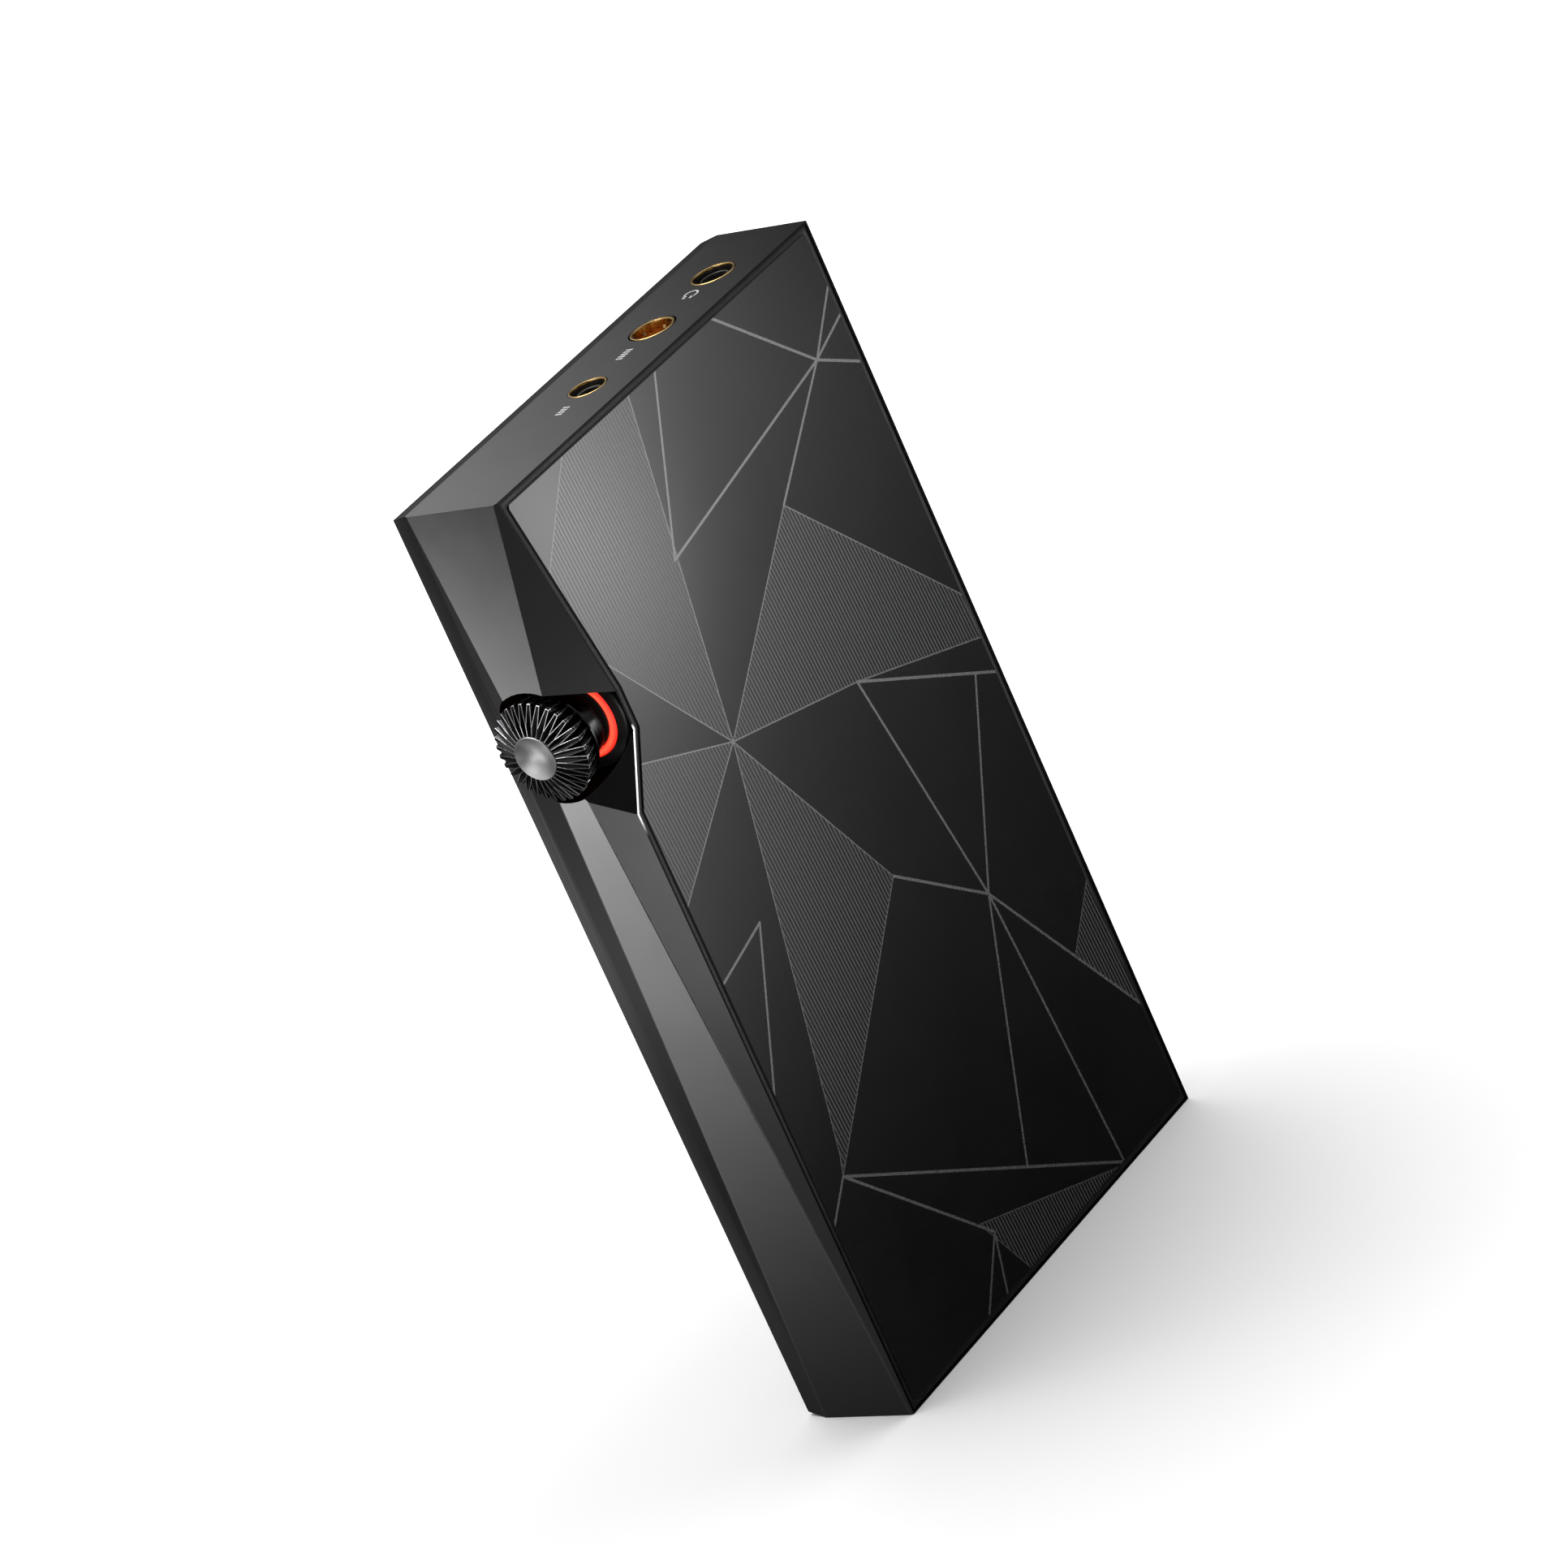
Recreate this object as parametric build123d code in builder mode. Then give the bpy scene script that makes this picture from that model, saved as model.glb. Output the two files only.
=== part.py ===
from build123d import *
import math
import os

os.makedirs("parts", exist_ok=True)

# ---------------------------------------------------------------------------
# Portable digital audio player with a faceted steel body and a crown wheel.
# Frame: the player stands on its bottom end.  +Z up, the display faces -Y,
# the glass back faces +Y, the volume wheel is on the +X side.
# Origin: centre of the body's bottom end.  All values in millimetres.
# ---------------------------------------------------------------------------

# body
HALF_W = 38.15            # half width of the plain body
HALF_D = 9.15             # half depth
HEIGHT = 139.34           # steel top end; the socket rings stand 0.06 proud of it
RING_TOP = 139.4
SLOPE_Y = -6.42           # depth at which the front slope begins
SLOPE_IN = 0.55           # how far the front slope pulls in at the glass
BULGE_X = 40.65           # crest of the faceted wheel side
CREST_LOW_Z = 97.3        # the crest's two ends, either side of the wheel
CREST_HIGH_Z = 112.8
END_LOW_X = 38.37         # plateau at the bottom and at the top end
END_HIGH_X = 38.40
SPLIT_Z = 104.0           # where the two flank solids meet, inside the well

# wheel well
WHEEL_Y = 1.5
WHEEL_Z = 105.54
WELL_R = 8.2
WELL_FLOOR_X = 32.5
WELL_CHORD_A = 4.75       # depths at which the flat upper wall meets the round
WELL_CHORD_B = 9.15

# walls and inside
TOP_WALL = 2.54
BOTTOM_WALL = 2.6
SIDE_WALL = 2.4
MID_FRONT_Y = -6.2        # mid plate that carries the display and the boards
MID_BACK_Y = -5.2
BACK_LEDGE_Y = 8.05
WHEEL_WALL_X = 29.35      # inner face of the wall behind the wheel well

# glass
GLASS_T = 0.95
GLASS_HALF_W = 36.7
GLASS_Z0, GLASS_Z1 = 1.45, 137.95
BACK_T = 0.85
RIM = 0.35                # steel rim left around the back recess
GASKET_IN = 0.42
PLATE_IN = 1.2
GASKET_INNER = 2.25

# sockets on the top end
JACK_Y = 1.75
JACK35_X, JACK44_X, JACK25_X = -25.16, -9.94, 6.0
JACK35_R, JACK44_R, JACK25_R = 1.80, 2.25, 1.30          # plug bores
RING35, RING44, RING25 = 3.25, 3.23, 2.79                # gold ring radii
RING35_IN, RING44_IN, RING25_IN = 2.75, 2.70, 2.35
HOLE35, HOLE44, HOLE25 = 3.31, 3.46, 2.86                # holes in the steel
HOUSING_TOP = 136.75
BARREL_TOP = 138.75

# wheel
KNOB_R = 7.24
KNOB_TIP_X = 41.67
KNOB_BACK_X = 38.2
DISH_R = 3.2
DISH_X = 43.25
DISH_DEPTH = 0.9
TEETH = 32
SHAFT_R = 2.0
SHAFT_SMALL_R = 1.5
PRESS = 0.4

# side buttons
BUTTON_Y = 1.0
BUTTON_Z = {"previous_button": 92.0, "play_button": 105.5, "next_button": 119.0}
BUTTON_L, BUTTON_W = 9.0, 2.6
BUTTON_PROUD = 1.0
BUTTON_GAP = 0.1

# boards
MAIN_Y0, MAIN_Y1 = 2.4, 3.4
LOW_Y0, LOW_Y1 = -3.6, -2.7


def xz(y):
    """Sketch plane at depth y: sketch x is X, sketch y is Z, extrudes to -Y."""
    return Plane(origin=(0, y, 0), x_dir=(1, 0, 0), z_dir=(0, -1, 0))


def facet(a, b, c, inside):
    """Plane through three points, its normal pointing away from `inside`."""
    a, b, c, inside = Vector(*a), Vector(*b), Vector(*c), Vector(*inside)
    n = (b - a).cross(c - a).normalized()
    if n.dot(inside - a) > 0:
        n = n * -1
    return Plane(origin=a, z_dir=n)


BACK_OUTLINE = [
    (-HALF_W, 0), (HALF_W, 0), (38.3, 93.5), (WELL_FLOOR_X, 102.8),
    (WELL_FLOOR_X, 108.4), (37.97, HEIGHT), (-HALF_W, HEIGHT),
]
INSIDE = (0, 0, 70)

# ------------------------------------------------------------- body flanks --
# The wheel side swells outwards in flat facets: a front bevel, a long plateau
# and a rear bevel, both above and below the wheel.

with BuildPart() as upper_flank:
    with BuildSketch(xz(HALF_D)):
        with Locations((31.0, (SPLIT_Z + HEIGHT) / 2)):
            Rectangle(22.0, HEIGHT - SPLIT_Z)
    extrude(amount=HALF_D - SLOPE_Y)
    split(bisect_by=facet((HALF_W, SLOPE_Y, HEIGHT), (HALF_W, SLOPE_Y, 112.75),
                          (BULGE_X, -1.93, 112.75), INSIDE), keep=Keep.BOTTOM)
    split(bisect_by=facet((END_HIGH_X, 0, HEIGHT), (END_HIGH_X, 5, HEIGHT),
                          (BULGE_X, 0, CREST_HIGH_Z), INSIDE), keep=Keep.BOTTOM)
    split(bisect_by=facet((37.97, HALF_D, HEIGHT), (WELL_FLOOR_X, HALF_D, 108.4),
                          (BULGE_X, 4.75, CREST_HIGH_Z), INSIDE), keep=Keep.BOTTOM)

with BuildPart() as lower_flank:
    with BuildSketch(xz(HALF_D)):
        with Locations((31.0, SPLIT_Z / 2)):
            Rectangle(22.0, SPLIT_Z)
    extrude(amount=HALF_D - SLOPE_Y)
    split(bisect_by=facet((HALF_W, SLOPE_Y, 0), (HALF_W, SLOPE_Y, 97.45),
                          (BULGE_X, -0.4, 97.45), INSIDE), keep=Keep.BOTTOM)
    split(bisect_by=facet((END_LOW_X, 0, 0), (END_LOW_X, 5, 0),
                          (BULGE_X, 0, CREST_LOW_Z), INSIDE), keep=Keep.BOTTOM)
    split(bisect_by=facet((HALF_W, HALF_D, 0), (38.3, HALF_D, 93.5),
                          (BULGE_X, 4.41, 97.15), INSIDE), keep=Keep.BOTTOM)
    split(bisect_by=facet((BULGE_X, 4.41, 97.15), (38.3, HALF_D, 93.5),
                          (WELL_FLOOR_X, HALF_D, 102.8), INSIDE), keep=Keep.BOTTOM)

# ----------------------------------------------------------- unibody frame --
chord_a = (WELL_CHORD_A, WHEEL_Z + math.sqrt(WELL_R**2 - (WELL_CHORD_A - WHEEL_Y)**2))
chord_b = (WELL_CHORD_B, WHEEL_Z + math.sqrt(WELL_R**2 - (WELL_CHORD_B - WHEEL_Y)**2))
POSTS = [(-26.5, 84.5), (15.5, 84.5), (-26.5, 114.0), (15.5, 114.0)]
LOW_POSTS = [(-28.3, 15.6), (9.8, 15.6)]
JACK_POSTS = [(-17.6, 121.2), (12.2, 121.2)]

with BuildPart() as unibody_frame:
    # front slab, whose four sides slope in towards the display glass
    with BuildSketch(xz(SLOPE_Y)):
        with Locations((0, HEIGHT / 2)):
            Rectangle(2 * HALF_W, HEIGHT)
    extrude(amount=HALF_D + SLOPE_Y,
            taper=math.degrees(math.atan(SLOPE_IN / (HALF_D + SLOPE_Y))))
    # plain part of the body behind the slope
    with BuildSketch(xz(HALF_D)):
        with Locations(((WELL_FLOOR_X - HALF_W) / 2, HEIGHT / 2)):
            Rectangle(WELL_FLOOR_X + HALF_W, HEIGHT)
    extrude(amount=HALF_D - SLOPE_Y)
    add(upper_flank.part)
    add(lower_flank.part)
    # round wheel well with a flat upper wall, open to the side and the back
    with BuildSketch(Plane.YZ.offset(WELL_FLOOR_X)):
        with BuildLine():
            Line(chord_a, chord_b)
            ThreePointArc(chord_b, (WHEEL_Y, WHEEL_Z - WELL_R), (WHEEL_Y - WELL_R, WHEEL_Z))
            ThreePointArc((WHEEL_Y - WELL_R, WHEEL_Z),
                          (WHEEL_Y - WELL_R * math.cos(math.radians(45)),
                           WHEEL_Z + WELL_R * math.sin(math.radians(45))), chord_a)
        make_face()
    extrude(amount=12.0, mode=Mode.SUBTRACT)
    # recess for the display glass, then the deeper one for the panel
    with BuildSketch(xz(-HALF_D + GLASS_T + 0.05)):
        with Locations((0, (GLASS_Z0 + GLASS_Z1) / 2)):
            RectangleRounded(2 * GLASS_HALF_W + 0.1, GLASS_Z1 - GLASS_Z0 + 0.1, 1.05)
    extrude(amount=2.0, mode=Mode.SUBTRACT)
    with BuildSketch(xz(MID_FRONT_Y)):
        with Locations((0, HEIGHT / 2)):
            RectangleRounded(69.8, 128.6, 1.0)
    extrude(amount=2.6, mode=Mode.SUBTRACT)
    # recess for the back plate
    with BuildSketch(xz(HALF_D + 1.0)):
        with BuildLine():
            Polyline(*BACK_OUTLINE, close=True)
        make_face()
        offset(amount=-RIM, kind=Kind.INTERSECTION, mode=Mode.REPLACE)
    extrude(amount=HALF_D + 1.0 - BACK_LEDGE_Y, mode=Mode.SUBTRACT)
    # inner space for boards and battery, stepped in beside the wheel
    with BuildSketch(xz(BACK_LEDGE_Y + 0.5)):
        with BuildLine():
            Polyline((-HALF_W + SIDE_WALL, BOTTOM_WALL), (HALF_W - SIDE_WALL, BOTTOM_WALL),
                     (HALF_W - SIDE_WALL, 88.5), (WHEEL_WALL_X, 94.4),
                     (WHEEL_WALL_X, 116.4), (33.4, 131.0),
                     (33.4, HEIGHT - TOP_WALL), (-HALF_W + SIDE_WALL, HEIGHT - TOP_WALL),
                     close=True)
        make_face()
    extrude(amount=BACK_LEDGE_Y + 0.5 - MID_BACK_Y, mode=Mode.SUBTRACT)
    # slot in the mid plate for the display's ribbon
    with BuildSketch(xz(MID_BACK_Y + 0.5)):
        with Locations((0, 79.9)):
            SlotOverall(17.0, 1.8)
    extrude(amount=2.0, mode=Mode.SUBTRACT)
    # screw posts on the mid plate
    with BuildSketch(xz(MAIN_Y0)):
        with Locations(*POSTS):
            Circle(1.9)
    extrude(amount=MAIN_Y0 - MID_BACK_Y)
    with BuildSketch(xz(-1.4)):
        with Locations(*LOW_POSTS):
            Circle(1.7)
    extrude(amount=-1.4 - MID_BACK_Y)
    with BuildSketch(xz(-3.05)):
        with Locations(*JACK_POSTS):
            Circle(1.7)
    extrude(amount=-3.05 - MID_BACK_Y)
    with BuildSketch(xz(MAIN_Y0)):
        with Locations(*POSTS):
            Circle(0.72)
    extrude(amount=4.2, mode=Mode.SUBTRACT)
    with BuildSketch(xz(-1.4)):
        with Locations(*LOW_POSTS):
            Circle(0.72)
    extrude(amount=3.4, mode=Mode.SUBTRACT)
    with BuildSketch(xz(-3.05)):
        with Locations(*JACK_POSTS):
            Circle(0.72)
    extrude(amount=1.95, mode=Mode.SUBTRACT)
    # socket holes in the top end
    with BuildSketch(Plane.XY.offset(HEIGHT - TOP_WALL - 0.5)):
        with Locations((JACK35_X, JACK_Y)):
            Circle(HOLE35)
        with Locations((JACK44_X, JACK_Y)):
            Circle(HOLE44)
        with Locations((JACK25_X, JACK_Y)):
            Circle(HOLE25)
    extrude(amount=TOP_WALL + 1.0, mode=Mode.SUBTRACT)
    # USB and card slots in the bottom end
    with BuildSketch(Plane.XY.offset(-0.5)):
        with Locations((0, 1.2)):
            SlotOverall(9.3, 3.5)
        with Locations((-20.0, 0.35)):
            Rectangle(12.0, 1.3)
    extrude(amount=BOTTOM_WALL + 1.0, mode=Mode.SUBTRACT)
    # button slots in the plain side
    with BuildSketch(Plane.YZ.offset(-HALF_W - 0.5)):
        with Locations(*[(BUTTON_Y, z) for z in BUTTON_Z.values()]):
            SlotOverall(BUTTON_L + 2 * BUTTON_GAP, BUTTON_W + 2 * BUTTON_GAP, rotation=90)
    extrude(amount=SIDE_WALL + 1.0, mode=Mode.SUBTRACT)
    # hole for the wheel bushing
    with BuildSketch(Plane.YZ.offset(WHEEL_WALL_X - 0.5)):
        with Locations((WHEEL_Y, WHEEL_Z)):
            Circle(3.25)
    extrude(amount=WELL_FLOOR_X - WHEEL_WALL_X + 1.0, mode=Mode.SUBTRACT)
unibody_frame.part.label = "unibody_frame"
export_step(unibody_frame.part, "parts/unibody_frame.step")

# -------------------------------------------------------------------- glass --
with BuildPart() as front_glass:
    with BuildSketch(xz(-HALF_D + GLASS_T)):
        with Locations((0, (GLASS_Z0 + GLASS_Z1) / 2)):
            RectangleRounded(2 * GLASS_HALF_W, GLASS_Z1 - GLASS_Z0, 1.0)
    extrude(amount=GLASS_T)
    chamfer(front_glass.faces().sort_by(Axis.Y)[0].outer_wire().edges(), length=0.15)
front_glass.part.label = "front_glass"
export_step(front_glass.part, "parts/front_glass.step")

with BuildPart() as display_panel:
    with BuildSketch(xz(MID_FRONT_Y - 0.02)):
        with Locations((0, HEIGHT / 2)):
            RectangleRounded(69.2, 128.0, 0.8)
    extrude(amount=1.86)
display_panel.part.label = "display_panel"
export_step(display_panel.part, "parts/display_panel.step")

with BuildPart() as back_plate:
    with BuildSketch(xz(HALF_D)):
        with BuildLine():
            Polyline(*BACK_OUTLINE, close=True)
        make_face()
        offset(amount=-PLATE_IN, kind=Kind.INTERSECTION, mode=Mode.REPLACE)
        fillet(vertices(), radius=1.0)
    extrude(amount=BACK_T)
    chamfer(back_plate.faces().sort_by(Axis.Y)[-1].outer_wire().edges(), length=0.12)
back_plate.part.label = "back_plate"
export_step(back_plate.part, "parts/back_plate.step")

with BuildPart() as back_plate_gasket:
    with BuildSketch(xz(8.3)):
        with BuildLine():
            Polyline(*BACK_OUTLINE, close=True)
        make_face()
        offset(amount=-GASKET_IN, kind=Kind.INTERSECTION, mode=Mode.REPLACE)
    extrude(amount=0.25)
    with BuildSketch(xz(8.95)):
        with BuildLine():
            Polyline(*BACK_OUTLINE, close=True)
        make_face()
        offset(amount=-GASKET_IN, kind=Kind.INTERSECTION, mode=Mode.REPLACE)
    extrude(amount=0.65)
    with BuildSketch(xz(9.5)):
        with BuildLine():
            Polyline(*BACK_OUTLINE, close=True)
        make_face()
        offset(amount=-PLATE_IN + 0.03, kind=Kind.INTERSECTION, mode=Mode.REPLACE)
        fillet(vertices(), radius=1.03)
    extrude(amount=1.2, mode=Mode.SUBTRACT)
    with BuildSketch(xz(8.5)):
        with BuildLine():
            Polyline(*BACK_OUTLINE, close=True)
        make_face()
        offset(amount=-GASKET_INNER, kind=Kind.INTERSECTION, mode=Mode.REPLACE)
    extrude(amount=1.0, mode=Mode.SUBTRACT)
back_plate_gasket.part.label = "back_plate_gasket"
export_step(back_plate_gasket.part, "parts/back_plate_gasket.step")

# ------------------------------------------------------------------ battery --
with BuildPart() as battery_pad:
    with BuildSketch(xz(-4.8)):
        with Locations((0, 49.0)):
            Rectangle(60.0, 54.0)
    extrude(amount=0.38)
battery_pad.part.label = "battery_pad"
export_step(battery_pad.part, "parts/battery_pad.step")

with BuildPart() as battery_cell:
    with BuildSketch(xz(1.7)):
        with Locations((0, 49.0)):
            RectangleRounded(66.0, 58.0, 2.5)
    extrude(amount=6.48)
    fillet(battery_cell.edges().filter_by(GeomType.LINE).group_by(Axis.Y)[-1], radius=0.8)
battery_cell.part.label = "battery_cell"
export_step(battery_cell.part, "parts/battery_cell.step")

with BuildPart() as battery_lead:
    with BuildSketch(Plane.YZ.offset(10.0)):
        with BuildLine():
            Polyline((-1.6, 78.05), (-0.8, 78.05), (-0.8, 79.4), (2.38, 79.4), (2.38, 82.6),
                     (1.58, 82.6), (1.58, 80.2), (-1.6, 80.2), close=True)
        make_face()
    extrude(amount=3.6)
battery_lead.part.label = "battery_lead"
export_step(battery_lead.part, "parts/battery_lead.step")

# --------------------------------------------------------------- main board --
with BuildPart() as main_board:
    with BuildSketch(xz(MAIN_Y1)):
        with Locations((-5.75, 99.3)):
            Rectangle(49.5, 35.4)
        with Locations(*POSTS):
            Circle(0.85, mode=Mode.SUBTRACT)
    extrude(amount=MAIN_Y1 - MAIN_Y0)
main_board.part.label = "main_board"
export_step(main_board.part, "parts/main_board.step")

with BuildPart() as processor_chip:
    with BuildSketch(xz(MAIN_Y1 + 1.2)):
        with Locations((-12.0, 96.0)):
            Rectangle(12.0, 12.0)
    extrude(amount=1.2)
processor_chip.part.label = "processor_chip"
export_step(processor_chip.part, "parts/processor_chip.step")

with BuildPart() as memory_chips:
    with BuildSketch(xz(MAIN_Y1 + 1.0)):
        with Locations((-12.0, 108.5)):
            Rectangle(11.0, 8.5)
        with Locations((1.5, 96.0)):
            Rectangle(8.5, 11.0)
    extrude(amount=1.0)
memory_chips.part.label = "memory_chips"
export_step(memory_chips.part, "parts/memory_chips.step")

with BuildPart() as thermal_pad:
    with BuildSketch(xz(6.38)):
        with Locations((-12.0, 96.0)):
            Rectangle(11.0, 11.0)
    extrude(amount=6.38 - MAIN_Y1 - 1.22)
thermal_pad.part.label = "thermal_pad"
export_step(thermal_pad.part, "parts/thermal_pad.step")

with BuildPart() as digital_shield_can:
    with BuildSketch(xz(6.6)):
        with Locations((-7.0, 99.5)):
            Rectangle(30.0, 30.0)
    extrude(amount=6.6 - MAIN_Y1)
    with BuildSketch(xz(6.4)):
        with Locations((-7.0, 99.5)):
            Rectangle(29.6, 29.6)
    extrude(amount=6.4 - MAIN_Y1 + 0.5, mode=Mode.SUBTRACT)
digital_shield_can.part.label = "digital_shield_can"
export_step(digital_shield_can.part, "parts/digital_shield_can.step")

# analogue board under the main board, with converters and headphone drivers
with BuildPart() as analog_board:
    with BuildSketch(xz(LOW_Y1)):
        with Locations((-5.5, 99.3)):
            Rectangle(37.4, 33.0)
    extrude(amount=LOW_Y1 - LOW_Y0)
analog_board.part.label = "analog_board"
export_step(analog_board.part, "parts/analog_board.step")

with BuildPart() as dac_chips:
    with BuildSketch(xz(LOW_Y1 + 0.9)):
        with Locations((-19.2, 94.0), (-10.4, 94.0), (-19.2, 104.0), (-10.4, 104.0)):
            Rectangle(7.0, 7.0)
    extrude(amount=0.9)
dac_chips.part.label = "dac_chips"
export_step(dac_chips.part, "parts/dac_chips.step")

with BuildPart() as amplifier_chips:
    with BuildSketch(xz(LOW_Y1 + 1.1)):
        with Locations((0.8, 96.0), (8.4, 96.0), (0.8, 105.0), (8.4, 105.0)):
            Rectangle(5.0, 6.0)
    extrude(amount=1.1)
amplifier_chips.part.label = "amplifier_chips"
export_step(amplifier_chips.part, "parts/amplifier_chips.step")

with BuildPart() as analog_shield_can:
    with BuildSketch(xz(0.2)):
        with Locations((-5.5, 99.3)):
            Rectangle(36.0, 24.0)
    extrude(amount=0.2 - LOW_Y1)
    with BuildSketch(xz(0.0)):
        with Locations((-5.5, 99.3)):
            Rectangle(35.6, 23.6)
    extrude(amount=-LOW_Y1 + 0.5, mode=Mode.SUBTRACT)
analog_shield_can.part.label = "analog_shield_can"
export_step(analog_shield_can.part, "parts/analog_shield_can.step")

# tall connector that joins the two boards
with BuildPart() as board_connector:
    with BuildSketch(xz(MAIN_Y0 - 0.01)):
        with Locations((-6.0, 114.3)):
            Rectangle(18.0, 2.2)
    extrude(amount=MAIN_Y0 - LOW_Y1 - 0.02)
board_connector.part.label = "board_connector"
export_step(board_connector.part, "parts/board_connector.step")

with BuildPart() as heat_spreader:
    with BuildSketch(xz(7.05)):
        with Locations((-4.5, 72.0)):
            RectangleRounded(44.0, 88.0, 2.0)
    extrude(amount=0.4)
heat_spreader.part.label = "heat_spreader"
export_step(heat_spreader.part, "parts/heat_spreader.step")

with BuildPart() as antenna_module:
    with BuildSketch(xz(8.28)):
        with Locations((20.0, 127.5)):
            Rectangle(16.0, 9.0)
    extrude(amount=0.9)
antenna_module.part.label = "antenna_module"
export_step(antenna_module.part, "parts/antenna_module.step")

with BuildPart() as display_flex:
    with BuildSketch(Plane.YZ.offset(-7.0)):
        with BuildLine():
            Polyline((-6.18, 79.6), (2.38, 79.6), (2.38, 84.0), (2.18, 84.0), (2.18, 79.8),
                     (-6.18, 79.8), close=True)
        make_face()
    extrude(amount=14.0)
display_flex.part.label = "display_flex"
export_step(display_flex.part, "parts/display_flex.step")

# ------------------------------------------------------------------ sockets --
with BuildPart() as jack_board:
    with BuildSketch(xz(-2.05)):
        with Locations((-8.4, 127.3)):
            Rectangle(44.4, 17.8)
        with Locations(*JACK_POSTS):
            Circle(0.85, mode=Mode.SUBTRACT)
    extrude(amount=1.0)
jack_board.part.label = "jack_board"
export_step(jack_board.part, "parts/jack_board.step")

with BuildPart() as jack_35_body:
    with BuildSketch(Plane.XY.offset(122.2)):
        with Locations((JACK35_X, JACK_Y)):
            Rectangle(6.8, 7.4)
    extrude(amount=HOUSING_TOP - 122.2)
    with BuildSketch(Plane.XY.offset(HOUSING_TOP)):
        with Locations((JACK35_X, JACK_Y)):
            Circle(2.15)
    extrude(amount=BARREL_TOP - HOUSING_TOP)
    with BuildSketch(Plane.XY.offset(124.3)):
        with Locations((JACK35_X, JACK_Y)):
            Circle(JACK35_R)
    extrude(amount=BARREL_TOP - 124.3, mode=Mode.SUBTRACT)
jack_35_body.part.label = "jack_35_body"
export_step(jack_35_body.part, "parts/jack_35_body.step")

with BuildPart() as jack_35_ring:
    with BuildSketch(Plane.XY.offset(HOUSING_TOP)):
        with Locations((JACK35_X, JACK_Y)):
            Circle(RING35)
            Circle(RING35_IN, mode=Mode.SUBTRACT)
    extrude(amount=RING_TOP - HOUSING_TOP)
    chamfer(jack_35_ring.faces().sort_by(Axis.Z)[-1].edges(), length=0.1)
jack_35_ring.part.label = "jack_35_ring"
export_step(jack_35_ring.part, "parts/jack_35_ring.step")

with BuildPart() as jack_44_body:
    with BuildSketch(Plane.XY.offset(117.9)):
        with Locations((JACK44_X, JACK_Y)):
            Rectangle(7.6, 7.4)
    extrude(amount=HOUSING_TOP - 117.9)
    with BuildSketch(Plane.XY.offset(119.0)):
        with Locations((JACK44_X, JACK_Y)):
            Circle(JACK44_R)
    extrude(amount=HOUSING_TOP - 119.0, mode=Mode.SUBTRACT)
jack_44_body.part.label = "jack_44_body"
export_step(jack_44_body.part, "parts/jack_44_body.step")

with BuildPart() as jack_44_ring:
    with BuildSketch(Plane.XY.offset(HOUSING_TOP)):
        with Locations((JACK44_X, JACK_Y)):
            Circle(RING44)
            Circle(RING44_IN, mode=Mode.SUBTRACT)
    extrude(amount=RING_TOP - HOUSING_TOP)
    chamfer(jack_44_ring.faces().sort_by(Axis.Z)[-1].edges(), length=0.1)
jack_44_ring.part.label = "jack_44_ring"
export_step(jack_44_ring.part, "parts/jack_44_ring.step")

with BuildPart() as jack_25_body:
    with BuildSketch(Plane.XY.offset(125.6)):
        with Locations((JACK25_X, JACK_Y)):
            Rectangle(6.0, 7.4)
    extrude(amount=HOUSING_TOP - 125.6)
    with BuildSketch(Plane.XY.offset(HOUSING_TOP)):
        with Locations((JACK25_X, JACK_Y)):
            Circle(1.85)
    extrude(amount=BARREL_TOP - HOUSING_TOP)
    with BuildSketch(Plane.XY.offset(127.3)):
        with Locations((JACK25_X, JACK_Y)):
            Circle(JACK25_R)
    extrude(amount=BARREL_TOP - 127.3, mode=Mode.SUBTRACT)
jack_25_body.part.label = "jack_25_body"
export_step(jack_25_body.part, "parts/jack_25_body.step")

with BuildPart() as jack_25_ring:
    with BuildSketch(Plane.XY.offset(HOUSING_TOP)):
        with Locations((JACK25_X, JACK_Y)):
            Circle(RING25)
            Circle(RING25_IN, mode=Mode.SUBTRACT)
    extrude(amount=RING_TOP - HOUSING_TOP)
    chamfer(jack_25_ring.faces().sort_by(Axis.Z)[-1].edges(), length=0.1)
jack_25_ring.part.label = "jack_25_ring"
export_step(jack_25_ring.part, "parts/jack_25_ring.step")

# -------------------------------------------------------------------- wheel --
AXLE = Axis((0, WHEEL_Y, WHEEL_Z), (1, 0, 0))
SIDE = Plane(origin=(0, WHEEL_Y, WHEEL_Z), x_dir=(0, 1, 0), z_dir=(1, 0, 0))
PROFILE = Plane(origin=(0, WHEEL_Y, WHEEL_Z), x_dir=(1, 0, 0), z_dir=(0, 0, 1))


def side(x):
    """Sketch plane square to the wheel's axle at x."""
    return Plane(origin=(x, WHEEL_Y, WHEEL_Z), x_dir=(0, 1, 0), z_dir=(1, 0, 0))


# A wedge lying along the crown, widest at its rim, running out towards the
# back and towards the dish.  Local X is radial, local Z runs along the axle.
with BuildPart() as groove_wedge:
    with BuildSketch(Plane.YZ.offset(KNOB_R + 0.6)):
        with BuildLine():
            Polyline((0.0, 38.75), (0.58, 40.9), (0.78, 44.2), (-0.78, 44.2), (-0.58, 40.9),
                     close=True)
        make_face()
    with BuildSketch(Plane.YZ.offset(KNOB_R - 0.95)):
        with BuildLine():
            Polyline((0.0, 39.9), (0.02, 41.0), (0.02, 44.2), (-0.02, 44.2), (-0.02, 41.0),
                     close=True)
        make_face()
    loft()

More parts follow.
